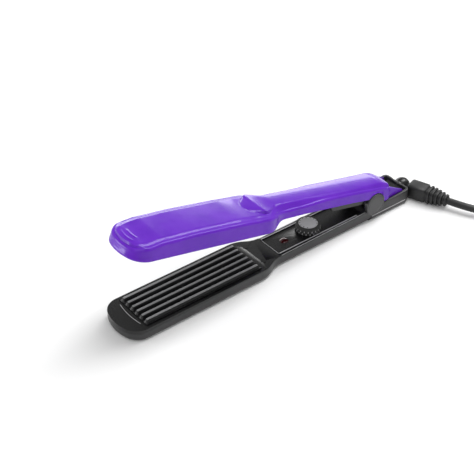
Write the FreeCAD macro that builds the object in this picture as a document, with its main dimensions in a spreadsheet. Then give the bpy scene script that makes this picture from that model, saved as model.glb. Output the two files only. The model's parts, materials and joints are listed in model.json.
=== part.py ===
"""Hair crimper: two hinged arms with ribbed heating plates, a heat dial and a swivelling mains lead.

The crimper lies on its lower arm.  X runs along the arms from the tip (-X) to the lead end (+X),
Y is the width, Z is up and the surface it lies on is Z = 0.  The origin is the middle of the base.
The upper arm is modelled closed, and each of its pieces is then turned open about the hinge pin.
"""
import FreeCAD, Part
import math
import os
import Sketcher
from FreeCAD import Placement, Rotation, Vector

# ---------------------------------------------------------------- driving dimensions (mm, degrees)
SIZES = {
    # overall
    "tip_reach": 161.5,           # from the origin to the tip
    "rear_reach": 148.0,          # from the origin to the end of the rear housing
    "head_half": 23.0,            # half width of the plate end
    "handle_half": 15.5,          # half width of the handle
    "tip_front_radius": 40.0,     # the broad curve across the tip
    "tip_corner_radius": 15.0,    # the corners of the tip
    "rear_corner_radius": 4.0,
    "neck_start": -30.0,          # where the head starts to narrow
    "neck_length": 26.0,
    "shell_wall": 2.2,
    "shell_floor": 2.4,
    "edge_round": 4.5,            # rounding of the lower shell's bottom edge
    "cover_gap": 0.2,             # clearance between a cover and the wall it drops into
    # hinge
    "hinge_place": 104.0,
    "hinge_height": 16.6,
    "open_angle": 13.2,
    "pin_radius": 2.5,
    "bore_clearance": 0.05,
    "bush_wall": 1.4,
    "lug_radius": 10.2,
    "lug_depth": 2.6,
    "cap_radius": 10.5,
    "cap_depth": 1.7,
    "cap_gap": 0.8,               # gap round the lug in the upper shell
    # lower arm heights
    "tip_rim": 8.0,               # height of the lower shell's rim at the tip
    "neck_rim": 11.2,             # and where the neck starts
    "grip_rim": 10.3,             # handle rim at the cover seam
    "grip_rim_rear": 11.8,        # handle rim beside the hinge
    "housing_rim": 13.4,          # rear housing's side walls behind the hinge
    "housing_top": 14.9,          # and at their rear end
    "head_cover_top": 11.5,
    "head_cover_depth": 2.2,
    "grip_cover_top": 10.2,
    "grip_cover_depth": 1.6,
    "grip_cover_drop": 0.4,
    # plates
    "plate_start": -144.0,
    "plate_length": 115.0,
    "plate_half": 19.5,
    "plate_base": 2.4,
    "ridge_pitch": 6.5,
    "ridge_height": 2.8,
    "ridge_top_width": 1.95,
    "ridge_slope_width": 1.3,
    "ridge_top": 15.0,            # height of the lower ridges' tops
    "plate_gap": 0.8,             # gap between the two closed plates
    "plate_clearance": 0.3,       # gap round a plate in its cover
    "plate_lip": 0.9,
    # heating stack behind each plate
    "heater_depth": 3.0,
    "heater_half": 9.0,
    "heater_inset": 12.0,
    "mica_depth": 0.8,
    "carrier_floor": 1.2,
    "carrier_wall": 1.6,
    "carrier_foot": 6.0,
    # dial, lamp and electronics in the lower handle
    "dial_place": 39.0,
    "dial_radius": 10.9,
    "dial_height": 7.4,
    "dial_bottom": 9.4,
    "dial_well_gap": 0.7,
    "dial_notches": 40,
    "dial_shaft_radius": 3.0,
    "lamp_place": 11.8,
    "lamp_radius": 3.9,
    "lamp_dome": 1.7,
    "lamp_fit": 0.1,
    "board_depth": 1.6,
    "board_height": 4.6,
    "board_half": 10.5,
    "screw_radius": 1.4,
    "screw_head_radius": 2.3,
    "screw_head_depth": 1.5,
    "neck_screw_place": -20.7,
    "neck_screw_offset": 12.0,
    # upper arm, closed
    "upper_head_rim": 19.5,
    "upper_grip_rim": 23.0,
    "upper_top": 32.0,
    "upper_tip_top": 25.0,
    "upper_tip_slope": 42.0,      # how far back the top slopes down to the tip
    "upper_panel_top": 34.6,
    "panel_bevel_angle": -45.0,
    "upper_edge_round": 3.0,
    "upper_rear_behind": 20.5,    # how far the upper shell reaches behind the hinge
    "upper_rear_corner": 6.0,
    "upper_cover_depth": 2.0,
    "tail_behind": 37.0,          # how far its two tails reach behind the hinge
    "tail_wall": 1.9,
    # rear housing, swivel and boot
    "rear_cover_ahead": 7.0,      # how far the rear lower cover starts ahead of the hinge
    "rear_cover_seam": 4.5,
    "ball_place": 153.9,
    "ball_height": 7.6,
    "ball_radius": 6.2,
    "ball_gap": 0.08,
    "cup_radius": 7.6,
    "swivel_turn": -71.4,         # direction of the boot, turned from +X
    "boot_length": 38.0,
    "boot_start": 8.2,
    "boot_width": 13.6,
    "boot_depth": 12.6,
    "boot_end": 9.0,
    # mains lead
    "lead_radius": 3.3,
    "coil_ahead": 100.7,          # centre of the stored coil from the boot's end, along X
    "coil_aside": -7.2,           # and along Y
    "coil_radius": 35.0,
    "coil_section": 9.9,
    "tie_wall": 0.6,
    "tie_width": 12.0,
    "plug_relief": 24.0,
    "plug_width": 35.0,
    "plug_length": 34.0,
    "plug_depth": 13.8,
    "pin_pitch": 18.6,
    "plug_pin_radius": 2.0,
    "plug_pin_length": 19.0,
}

os.makedirs("parts", exist_ok=True)
doc = FreeCAD.newDocument("hair_crimper")
sheet = doc.addObject("Spreadsheet::Sheet", "sizes")
for row, (alias, number) in enumerate(SIZES.items(), start=1):
    sheet.set(f"A{row}", alias)
    sheet.set(f"B{row}", str(number))
    sheet.setAlias(f"B{row}", alias)
doc.recompute()

nodes = []


def size(alias):
    """Read one driving dimension back from the sheet."""
    return float(sheet.get(alias))


def bind(thing, **formulas):
    """Bind properties to formulas of the sheet's cells; '__' in a name stands for a dot."""
    for name, formula in formulas.items():
        thing.setExpression(name.replace("__", "."), formula)


def keep(thing, label):
    """Name an object as one of the crimper's pieces."""
    thing.Label = label
    nodes.append(thing)
    return thing


# ---------------------------------------------------------------- sketch and feature helpers
def new_body(name):
    """Start a PartDesign body."""
    return doc.addObject("PartDesign::Body", name + "_body")


def new_sketch(body, name, plane, geometry, offset=Vector(0, 0, 0)):
    """Draw geometry in a sketch on one of the body's own origin planes."""
    sketch = body.newObject("Sketcher::SketchObject", name)
    face = [item for item in body.Origin.OriginFeatures if item.Role == plane][0]
    sketch.AttachmentSupport = [(face, "")]
    sketch.MapMode = "FlatFace"
    sketch.AttachmentOffset = Placement(offset, Rotation())
    sketch.addGeometry(geometry, False)
    return sketch


def polygon(points):
    """Closed run of straight lines through 2-D points."""
    corners = [Vector(x, y, 0) for x, y in points]
    return [Part.LineSegment(a, b) for a, b in zip(corners, corners[1:] + corners[:1])]


def circle(x, y, radius):
    """One circle in the sketch plane."""
    return [Part.Circle(Vector(x, y, 0), Vector(0, 0, 1), radius)]


def pad(body, name, geometry, low, formula, plane="XY_Plane"):
    """Pad a drawing from the height `low` by a bound length."""
    sketch = new_sketch(body, name + "_sketch", plane, geometry, Vector(0, 0, low))
    feature = body.newObject("PartDesign::Pad", name)
    feature.Profile = sketch
    bind(feature, Length=formula)
    return feature


def pocket_down(body, name, geometry, top, formula):
    """Cut a drawing at the height `top` downwards by a bound depth and check that it cuts."""
    sketch = new_sketch(body, name + "_sketch", "XY_Plane", geometry, Vector(0, 0, top))
    feature = body.newObject("PartDesign::Pocket", name)
    feature.Profile = sketch
    bind(feature, Length=formula)
    check_cut(body, feature)
    return feature


def pocket_up(body, name, geometry, bottom, formula):
    """Cut a drawing at the height `bottom` upwards by a bound depth and check that it cuts."""
    sketch = new_sketch(body, name + "_sketch", "XY_Plane", geometry, Vector(0, 0, bottom))
    feature = body.newObject("PartDesign::Pocket", name)
    feature.Profile = sketch
    feature.Reversed = True
    bind(feature, Length=formula)
    check_cut(body, feature)
    return feature


def side_cut(body, name, geometry):
    """Cut a side-view drawing right through the width."""
    sketch = new_sketch(body, name + "_sketch", "XZ_Plane", geometry)
    feature = body.newObject("PartDesign::Pocket", name)
    feature.Profile = sketch
    feature.Type = "ThroughAll"
    feature.Midplane = True
    check_cut(body, feature)
    return feature


def check_cut(body, feature):
    """Stop if a cut took nothing away."""
    before = [item for item in body.Group if item.isDerivedFrom("PartDesign::Feature")][-2]
    doc.recompute()
    if feature.Shape.Volume > before.Shape.Volume - 0.01:
        raise ValueError(feature.Name + " cuts nothing")


def round_edges(body, name, picked, radius_formula):
    """Fillet the edges of the body's tip that `picked` accepts."""
    doc.recompute()
    base = body.Tip
    chosen = [f"Edge{i}" for i, edge in enumerate(base.Shape.Edges, start=1) if picked(edge)]
    feature = body.newObject("PartDesign::Fillet", name)
    feature.Base = (base, chosen)
    bind(feature, Radius=radius_formula)
    return feature


def edges_at(height):
    """Pick edges that lie wholly at one height."""
    return lambda edge: all(abs(vertex.Z - height) < 1e-4 for vertex in edge.Vertexes) and \
        abs(edge.BoundBox.ZMax - edge.BoundBox.ZMin) < 1e-4


# ---------------------------------------------------------------- the arms' plan outline
def arm_outline(inset, rear, rear_corner, front=None):
    """Plan of an arm, drawn in from its outer line by `inset`.

    A broad tip curve runs through two corner arcs into straight sides, which narrow to the handle
    through a pair of tangent arcs and end square with rounded corners.  With `front` the outline
    starts there instead, in the head or in the handle, with a square end.
    """
    half, grip = size("head_half") - inset, size("handle_half") - inset
    start, length = size("neck_start"), size("neck_length")
    side = []
    first = None
    if front is None:
        big, small = size("tip_front_radius"), size("tip_corner_radius")
        centre = Vector(-size("tip_reach") + big, 0, 0)
        along = math.sqrt((big - small) ** 2 - (size("head_half") - small) ** 2)
        corner = Vector(centre.x - along, size("head_half") - small, 0)
        reach = (corner - centre).normalize()
        touch = corner + reach * (small - inset)
        bulge = corner + (reach + Vector(0, 1, 0)).normalize() * (small - inset)
        first = Vector(corner.x, half, 0)
        side.append((touch, bulge, first))
    elif front < start:
        first = Vector(front, half, 0)
    if first is not None:
        drop = size("head_half") - size("handle_half")
        bend = (length ** 2 + drop ** 2) / (4 * drop)
        turn = math.asin(length / 2 / bend)
        across_bend = Vector(math.sin(turn / 2), math.cos(turn / 2), 0)
        outer = Vector(start, size("head_half") - bend, 0)
        inner = Vector(start + length, size("handle_half") + bend, 0)
        joint = outer + Vector(math.sin(turn), math.cos(turn), 0) * (bend - inset)
        last = Vector(start + length, grip, 0)
        side.append((first, None, Vector(start, half, 0)))
        side.append((Vector(start, half, 0), outer + across_bend * (bend - inset), joint))
        side.append((joint, inner - across_bend * (bend + inset), last))
    else:
        last = Vector(front, grip, 0)
    round_end = Vector(rear - rear_corner, grip, 0)
    side.append((last, None, round_end))
    diagonal = rear_corner * math.sqrt(0.5)
    tail = Vector(rear, grip - rear_corner, 0)
    side.append((round_end, Vector(round_end.x + diagonal, tail.y + diagonal, 0), tail))
    edges = []
    for mirror in (1, -1):
        for a, middle, b in side:
            a, b = Vector(a.x, a.y * mirror, 0), Vector(b.x, b.y * mirror, 0)
            if middle is None:
                edges.append(Part.LineSegment(a, b))
            else:
                edges.append(Part.Arc(a, Vector(middle.x, middle.y * mirror, 0), b))
    edges.append(Part.LineSegment(tail, Vector(tail.x, -tail.y, 0)))
    head = side[0][0]
    if front is None:
        nose = Vector(-size("tip_reach") + inset, 0, 0)
        edges.append(Part.Arc(Vector(head.x, -head.y, 0), nose, head))
    else:
        edges.append(Part.LineSegment(Vector(head.x, -head.y, 0), head))
    return edges


def rectangle(x_low, x_high, y_low, y_high):
    """Four lines round a rectangle."""
    return polygon([(x_low, y_low), (x_high, y_low), (x_high, y_high), (x_low, y_high)])


def box(label, x_low, x_high, y_half, z_low, z_high, y_centre=0.0):
    """A plain block, one Part::Box, centred across the width."""
    block = doc.addObject("Part::Box", label + "_box")
    block.Length, block.Width, block.Height = x_high - x_low, 2 * y_half, z_high - z_low
    block.Placement = Placement(Vector(x_low, y_centre - y_half, z_low), Rotation())
    return block


def rod(label, radius, length, centre, direction):
    """A cylinder that starts at `centre` and runs along `direction`."""
    cylinder = doc.addObject("Part::Cylinder", label + "_rod")
    cylinder.Radius, cylinder.Height = radius, length
    cylinder.Placement = Placement(centre, Rotation(Vector(0, 0, 1), direction))
    return cylinder


def fuse(label, *items):
    """Join objects with Part::MultiFuse."""
    joined = doc.addObject("Part::MultiFuse", label + "_fuse")
    joined.Shapes = list(items)
    return joined


def cut(label, base, *tools):
    """Take tools away from a base, one Part::Cut after another."""
    for number, tool in enumerate(tools):
        result = doc.addObject("Part::Cut", f"{label}_cut{number}")
        result.Base, result.Tool = base, tool
        base = result
    return base


# ---------------------------------------------------------------- heights and places worked out once
FLOOR = size("shell_floor")
WALL = size("shell_wall")
HINGE_X = size("hinge_place")
HINGE_Z = size("hinge_height")
NECK = size("neck_start")
SEAM = NECK + size("neck_length") - 0.3
REAR = size("rear_reach")
TIP = -size("tip_reach")
INNER = size("handle_half") - WALL
RIDGE_FOOT = size("ridge_top") - size("ridge_height")
PLATE_UNDER = RIDGE_FOOT - size("plate_base")
UPPER_RIDGE = RIDGE_FOOT + size("plate_gap")
UPPER_FOOT = UPPER_RIDGE + size("ridge_height")
UPPER_BACK = UPPER_FOOT + size("plate_base")
PLATE_END = size("plate_start") + size("plate_length")
SIDEWAYS = Vector(0, 1, 0)
UP = Vector(0, 0, 1)
BALL = Vector(size("ball_place"), 0, size("ball_height"))
UPPER_REAR = HINGE_X + size("upper_rear_behind")
TAIL_END = HINGE_X + size("tail_behind")
BULGE = HINGE_X - size("rear_cover_ahead")
RAIL_END = HINGE_X - 18.0
REAR_SCREW_X = REAR - 8.0
REAR_SCREW_Y = 6.0
OPENING = Placement(Vector(0, 0, 0), Rotation(SIDEWAYS, size("open_angle")), Vector(HINGE_X, 0, HINGE_Z))


def swing_open(thing, label):
    """Keep a piece of the upper arm, turned open about the hinge pin."""
    thing.Placement = OPENING.multiply(thing.Placement)
    return keep(thing, label)


def rim_line():
    """Side view of the lower shell's rim, from the tip back to the rear housing."""
    return [(TIP - 5, size("tip_rim")), (NECK, size("neck_rim")), (SEAM, size("grip_rim")),
            (HINGE_X - size("lug_radius"), size("grip_rim_rear")),
            (HINGE_X + 8, size("housing_rim")), (REAR + 5, size("housing_top"))]


# ---------------------------------------------------------------- lower arm: shell and covers
def lower_shell():
    """Tray with a rounded bottom edge, a sloping rim and two lugs that hold the hinge pin."""
    body = new_body("lower_shell")
    top = size("housing_top") + 1
    pad(body, "shell_block", arm_outline(0, REAR, size("rear_corner_radius")), 0, "sizes.housing_top + 1")
    round_edges(body, "shell_bottom_round", edges_at(0), "sizes.edge_round")
    doc.recompute()
    pocket_down(body, "shell_hollow", arm_outline(WALL, REAR - WALL, size("rear_corner_radius") - WALL),
                top, "sizes.housing_top + 1 - sizes.shell_floor")
    side_cut(body, "shell_rim", polygon(rim_line() + [(REAR + 5, top + 5), (TIP - 5, top + 5)]))
    seam = size("rear_cover_seam")
    start = BULGE
    step_outline = [(start, -1), (start + seam, seam), (REAR + 5, seam), (REAR + 5, -1)]
    side_cut(body, "shell_rear_step", polygon(step_outline))
    doc.recompute()
    parts = [body]
    holes = []
    under_cover = size("head_cover_top") - size("head_cover_depth")
    for side in (1, -1):
        parts.append(rod("lug", size("lug_radius"), size("lug_depth"),
                         Vector(HINGE_X, side * (size("handle_half") - size("lug_depth")), HINGE_Z), SIDEWAYS * side))
        foot = Vector(size("neck_screw_place"), side * size("neck_screw_offset"), FLOOR - 0.2)
        parts.append(rod("neck_boss", size("screw_radius") + 1.8, under_cover - foot.z, foot, UP))
        holes.append(rod("neck_boss_hole", size("screw_radius"), 12, foot + UP * 0.8, UP))
    holed = fuse("lower_shell", *parts)
    pin_hole = rod("pin_hole", size("pin_radius"), 2 * size("handle_half") + 2,
                   Vector(HINGE_X, -size("handle_half") - 1, HINGE_Z), SIDEWAYS)
    socket = rod("cup_hole", size("cup_radius") - 1.2, 20, Vector(REAR - 10, 0, size("ball_height")), Vector(1, 0, 0))
    keep(cut("lower_shell", holed, pin_hole, socket, *holes), "lower_shell")


def lower_head_cover():
    """Cover round the lower plate: fills the step down to the sloping rim and frames the plate."""
    body = new_body("lower_head_cover")
    top, depth = size("head_cover_top"), size("head_cover_depth")
    pad(body, "head_cover_block", arm_outline(0, SEAM + 6, 0.5), 0, "sizes.head_cover_top")
    lower = [(x, z + 0.02) for x, z in rim_line()[:3]]
    below = [(SEAM + 20, size("grip_rim")), (SEAM + 20, -5), (TIP - 5, -5)]
    side_cut(body, "head_cover_rim", polygon(lower + below))
    pad(body, "head_cover_slab", arm_outline(WALL + size("cover_gap"), SEAM + 6, 0.5), top - depth,
        "sizes.head_cover_depth")
    slope = [(NECK, top), (SEAM, size("grip_cover_top") + 0.4), (SEAM + 20, size("grip_cover_top")),
             (SEAM + 20, top + 5), (NECK, top + 5)]
    side_cut(body, "head_cover_neck", polygon(slope))
    side_cut(body, "head_cover_end", rectangle(SEAM, SEAM + 20, -1, 30))
    gap = size("plate_clearance")
    pocket_down(body, "plate_window", rectangle(size("plate_start") - gap, PLATE_END + gap,
                -size("plate_half") - gap, size("plate_half") + gap), top, "sizes.head_cover_top")
    for number, side in enumerate((1, -1)):
        pocket_down(body, f"screw_well{number}", circle(size("neck_screw_place"), side * size("neck_screw_offset"),
                    size("screw_head_radius") + 0.2), top, "1.6")
        pocket_down(body, f"screw_hole{number}", circle(size("neck_screw_place"), side * size("neck_screw_offset"),
                    size("screw_radius")), top, "sizes.head_cover_top")
    keep(body, "lower_head_cover")


def well_outline(radius, reach):
    """Circle round the dial, cut straight where it would pass the panel's edges at `reach`."""
    if radius <= reach:
        return circle(size("dial_place"), 0, radius)
    along = math.sqrt(radius ** 2 - reach ** 2)
    middle = size("dial_place")
    edges = []
    for side in (1, -1):
        first = Vector(middle - side * along, side * reach, 0)
        last = Vector(middle + side * along, side * reach, 0)
        edges.append(Part.LineSegment(first, last))
        edges.append(Part.Arc(last, Vector(middle + side * radius, 0, 0), Vector(last.x, -last.y, 0)))
    return edges


def grip_cover():
    """Panel inside the lower handle with two rails, a dial well and the lamp hole."""
    body = new_body("grip_cover")
    top, depth = size("grip_cover_top"), size("grip_cover_depth")
    rear = HINGE_X - size("lug_radius") - 2
    gap = size("cover_gap")
    pad(body, "grip_panel", arm_outline(WALL + gap, rear, 1.0, SEAM + 0.3), top - depth, "sizes.grip_cover_depth")
    for number, side in enumerate((1, -1)):
        rail = side * (INNER - gap - 0.75)
        pad(body, f"rail{number}", rectangle(SEAM + 0.3, RAIL_END, rail - 0.75, rail + 0.75), top - depth,
            "sizes.grip_cover_depth + 0.9")
    well = size("dial_radius") + size("dial_well_gap")
    pad(body, "well_wall", well_outline(well + 1.0, INNER - gap), size("board_height") + size("board_depth") + 1.0,
        "sizes.grip_cover_top - sizes.board_height - sizes.board_depth - 1.0")
    pocket_down(body, "dial_well", circle(size("dial_place"), 0, well), top + 2,
                "sizes.grip_cover_top + 2 - sizes.dial_bottom + 1.0")
    pocket_down(body, "shaft_hole", circle(size("dial_place"), 0, size("dial_shaft_radius") + 0.3), top, "9")
    pocket_down(body, "lamp_hole", circle(size("lamp_place"), 0, size("lamp_radius") + size("lamp_fit")), top, "4")
    keep(body, "grip_cover")


def rear_lower_cover():
    """Bulged cover under the hinge, below the seam of the rear housing."""
    body = new_body("rear_lower_cover")
    seam, start = size("rear_cover_seam"), BULGE
    pad(body, "bulge_block", arm_outline(-0.2, REAR - 1.0, 3.0, start), 0, "sizes.rear_cover_seam - 0.05")
    round_edges(body, "bulge_round", edges_at(0), "sizes.rear_cover_seam - 1.5")
    side_cut(body, "bulge_front", polygon([(start - 1, -1), (start - 1, seam + 1), (start + seam + 1.6, seam + 1),
                                          (start + 0.6, 0), (start + 0.6, -1)]))
    lowered = arm_outline(WALL, REAR - 1.0 - WALL, 1.0, start + seam + 4)
    pocket_down(body, "bulge_hollow", lowered, seam, "sizes.rear_cover_seam - 1.8")
    notch = rod("cup_notch", size("cup_radius") - 1.2, 14, Vector(REAR - 10.5, 0, BALL.z), Vector(1, 0, 0))
    bosses, holes = [], []
    for side in (1, -1):
        base = Vector(REAR_SCREW_X, side * REAR_SCREW_Y, 0)
        bosses.append(rod("bulge_boss", size("screw_head_radius") + 1.2, seam - 0.05, base, UP))
        holes.append(rod("bulge_well", size("screw_head_radius") + 0.2, size("screw_head_depth") + 0.2, base, UP))
        holes.append(rod("bulge_hole", size("screw_radius"), seam + 1, base, UP))
    keep(cut("rear_lower_cover", fuse("rear_lower_cover", body, *bosses), notch, *holes), "rear_lower_cover")
    group_of("rear_cover_screws", [screw(f"rear_screw{side}", REAR_SCREW_X, side * REAR_SCREW_Y, 0.2, 7.3, -1)
                                   for side in (1, -1)])


# ---------------------------------------------------------------- plates and the stacks behind them
def ridge_outline(count, foot, tops, flip):
    """Section of a ribbed plate: `count` ridges at the pitch about the middle line."""
    pitch, flat, slope = size("ridge_pitch"), size("ridge_top_width") / 2, size("ridge_slope_width")
    half, away = size("plate_half"), foot - flip * size("plate_base")
    points = [(-half, away), (half, away), (half, foot)]
    for number in range(count):
        middle = (count - 1) / 2 * pitch - number * pitch
        points += [(middle + flat + slope, foot), (middle + flat, tops),
                   (middle - flat, tops), (middle - flat - slope, foot)]
    points.append((-half, foot))
    return points


def ribbed_plate(label, count, foot, tops, flip):
    """Heating plate with ridges along its length and bevelled ends."""
    body = new_body(label)
    pad(body, label + "_ridges", polygon(ridge_outline(count, foot, tops, flip)), size("plate_start"),
        "sizes.plate_length", "YZ_Plane")
    rise = tops - foot
    for number, (x_end, inward) in enumerate(((size("plate_start"), 1), (PLATE_END, -1))):
        wedge = [(x_end - inward, foot + 0.2 * flip), (x_end, foot + 0.2 * flip),
                 (x_end + inward * abs(rise) * 0.8, tops + 0.1 * flip), (x_end - inward, tops + 0.1 * flip)]
        side_cut(body, f"{label}_bevel{number}", polygon(wedge))
    return body


def lower_plate():
    """Lower plate: six ridges and a low lip along each side."""
    plate = ribbed_plate("lower_crimp_plate", 6, RIDGE_FOOT, size("ridge_top"), 1)
    lip = size("plate_lip")
    for number, side in enumerate((1, -1)):
        edge = side * (size("plate_half") - lip / 2)
        pad(plate, f"plate_lip{number}", rectangle(size("plate_start"), PLATE_END, edge - lip / 2, edge + lip / 2),
            PLATE_UNDER + 0.5, "sizes.plate_base + 1.0")
    keep(plate, "lower_crimp_plate")


def upper_plate():
    """Upper plate: five ridges that fall between the lower plate's six."""
    swing_open(ribbed_plate("upper_crimp_plate", 5, UPPER_FOOT, UPPER_RIDGE, -1), "upper_crimp_plate")


def carrier(label, back, away):
    """Tray that presses heater and mica against a plate; `away` is +1 or -1 along Z from the plate."""
    floor = size("heater_depth") + size("mica_depth") + size("carrier_floor")
    x_low, x_high = size("plate_start") + 2, PLATE_END - 2
    half = size("plate_half") - 1.5
    z_far = back + away * floor
    wall = size("carrier_wall")
    low, high = min(back, z_far), max(back, z_far)
    block = box(label, x_low, x_high, half, low, high)
    inside_far = z_far - away * size("carrier_floor")
    inner_low, inner_high = (min(back, inside_far), max(back, inside_far))
    reach = 1 if away > 0 else 0
    hollow = box(label + "_inside", x_low + wall, x_high - wall, half - wall, inner_low - reach,
                 inner_high + 1 - reach)
    return cut(label, block, hollow), z_far


def heating_stack(prefix, back, away, finish):
    """Heater, mica sheet and carrier behind one plate, in order away from it."""
    x_low = size("plate_start") + size("heater_inset")
    x_high = PLATE_END - size("heater_inset")
    heater_far = back + away * size("heater_depth")
    mica_far = heater_far + away * size("mica_depth")
    heater = box(prefix + "_heater", x_low, x_high, size("heater_half"), min(back, heater_far),
                 max(back, heater_far))
    mica = box(prefix + "_mica", x_low - 3, x_high + 3, size("heater_half") + 3, min(heater_far, mica_far),
               max(heater_far, mica_far))
    tray, z_far = carrier(prefix + "_plate_carrier", back, away)
    guard = rod(prefix + "_fuse", 1.2, 10, Vector(x_high - 14, size("heater_half") + 4.8, back + away * 1.4),
                Vector(1, 0, 0))
    finish(guard, prefix + "_thermal_fuse")
    finish(heater, prefix + "_heater")
    finish(mica, prefix + "_mica_sheet")
    finish(tray, prefix + "_plate_carrier")
    return z_far


def carrier_feet(prefix, z_far, z_wall, finish):
    """Four ceramic standoffs between a carrier and its shell."""
    feet = []
    for number, (x, side) in enumerate(((0.2, 1), (0.2, -1), (0.8, 1), (0.8, -1))):
        place = Vector(size("plate_start") + x * size("plate_length"), side * size("head_half") / 2,
                       min(z_far, z_wall))
        feet.append(rod(f"{prefix}_standoff{number}", size("carrier_foot") / 2, abs(z_wall - z_far), place, UP))
    group = doc.addObject("Part::Compound", prefix + "_standoffs_group")
    group.Links = feet
    finish(group, prefix + "_standoffs")


# ---------------------------------------------------------------- lower handle: electronics, lamp, dial
def screw(name, x, y, z_head_top, length, downward=1):
    """Pan-head screw; its shaft runs down from the head (or up when `downward` is -1)."""
    direction = UP * -downward
    head = rod(name + "_head", size("screw_head_radius"), size("screw_head_depth"), Vector(x, y, z_head_top), direction)
    shaft = rod(name + "_shaft", size("screw_radius") - 0.02, length,
                Vector(x, y, z_head_top) + direction * size("screw_head_depth"), direction)
    return fuse(name, head, shaft)


def group_of(label, items, finish=None):
    """Identical fasteners kept as one piece list entry of separate solids."""
    group = doc.addObject("Part::Compound", label + "_group")
    group.Links = items
    (finish or keep)(group, label)


def electronics():
    """Control board with its potentiometer, lamp, power switch and capacitor, and two screws."""
    low = size("board_height")
    top = low + size("board_depth")
    board = box("board", SEAM + 4, 80, size("board_half"), low, top)
    holes = [rod("board_hole", size("screw_radius") + 0.1, 10, Vector(x, -6, 0), UP) for x in (2, 74)]
    keep(cut("board", board, *holes), "control_board")
    post_x = (2, 74)
    bosses = []
    for number, x in enumerate(post_x):
        post = rod(f"board_post{number}", 3.2, low - FLOOR, Vector(x, -6, FLOOR), UP)
        hole = rod(f"board_post_hole{number}", size("screw_radius"), 5, Vector(x, -6, FLOOR - 0.1), UP)
        bosses.append(cut(f"board_boss{number}", post, hole))
    group_of("board_bosses", bosses)
    group_of("board_screws", [screw(f"board_screw{i}", x, -6, top + size("screw_head_depth"),
                                    top - FLOOR - 0.4) for i, x in enumerate(post_x)])
    centre = Vector(size("dial_place"), 0, top)
    case_top = size("dial_bottom") - 2.2
    potentiometer = cut("potentiometer", box("potentiometer", size("dial_place") - 6, size("dial_place") + 6,
                                             6, top, case_top),
                        rod("pot_bore", size("dial_shaft_radius") + 0.05, 10, centre + UP * 0.4, UP))
    keep(potentiometer, "potentiometer")
    lamp = Vector(size("lamp_place"), 0, top)
    diode = fuse("indicator_led", rod("led_base", 1.9, 0.8, lamp, UP), rod("led_body", 1.5, 2.0, lamp, UP))
    keep(diode, "indicator_led")
    keep(box("power_switch", 60, 69, 2.2, top, top + 2.2, 5), "power_switch_chip")
    keep(rod("capacitor", 1.1, 12, Vector(56, -5.5, top + 1.1), Vector(1, 0, 0)), "smoothing_capacitor")
    well_bottom = size("head_cover_top") - 1.6
    group_of("neck_screws", [screw(f"neck_screw{side}", size("neck_screw_place"), side * size("neck_screw_offset"),
                                   well_bottom + size("screw_head_depth"), 6.0) for side in (1, -1)])


def lamp_lens():
    """Domed lens over the indicator lamp."""
    body = new_body("indicator_lens")
    radius, top, rise = size("lamp_radius"), size("grip_cover_top"), size("lamp_dome")
    dome = (radius ** 2 + rise ** 2) / (2 * rise)
    halfway = math.asin(radius / dome) / 2
    middle = Vector(dome * math.sin(halfway), top + rise - dome + dome * math.cos(halfway), 0)
    section = [Part.LineSegment(Vector(0, top - 1.4, 0), Vector(radius, top - 1.4, 0)),
               Part.LineSegment(Vector(radius, top - 1.4, 0), Vector(radius, top, 0)),
               Part.Arc(Vector(radius, top, 0), middle, Vector(0, top + rise, 0)),
               Part.LineSegment(Vector(0, top + rise, 0), Vector(0, top - 1.4, 0))]
    revolve(body, "lens_turn", section)
    body.Placement = Placement(Vector(size("lamp_place"), 0, 0), Rotation())
    keep(body, "indicator_lens")


def revolve(body, name, section):
    """Turn a section drawn on XZ about the body's own Z axis."""
    sketch = new_sketch(body, name + "_sketch", "XZ_Plane", section)
    feature = body.newObject("PartDesign::Revolution", name)
    feature.Profile = sketch
    feature.ReferenceAxis = (sketch, ["V_Axis"])
    feature.Angle = 360
    return feature


def dial():
    """Knurled heat dial on its shaft, with a pale disc set in its top."""
    body = new_body("heat_dial")
    radius, low = size("dial_radius"), size("dial_bottom")
    top = low + size("dial_height")
    inlay = radius * 0.78
    section = polygon([(size("dial_shaft_radius"), low), (radius, low), (radius, top - 0.8), (radius - 0.8, top),
                       (inlay, top), (inlay, top - 0.8), (size("dial_shaft_radius"), top - 0.8)])
    revolve(body, "dial_turn", section)
    doc.recompute()
    notch = new_sketch(body, "dial_notch_sketch", "XY_Plane", circle(radius + 0.15, 0, 0.45), Vector(0, 0, top + 1))
    cutter = body.newObject("PartDesign::Pocket", "dial_notch")
    cutter.Profile = notch
    bind(cutter, Length="sizes.dial_height + 1")
    check_cut(body, cutter)
    pattern = body.newObject("PartDesign::PolarPattern", "dial_notches_round")
    pattern.Originals = [cutter]
    pattern.Axis = (notch, ["N_Axis"])
    pattern.Angle = 360
    bind(pattern, Occurrences="sizes.dial_notches")
    body.Tip = pattern
    body.Placement = Placement(Vector(size("dial_place"), 0, 0), Rotation())
    keep(body, "heat_dial")
    keep(rod("dial_inlay", inlay - 0.02, 0.8, Vector(size("dial_place"), 0, top - 0.8), UP), "dial_inlay")
    bottom = size("board_height") + size("board_depth") + 0.6
    keep(rod("dial_shaft", size("dial_shaft_radius"), top - 0.8 - bottom, Vector(size("dial_place"), 0, bottom), UP),
         "dial_shaft")


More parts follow.
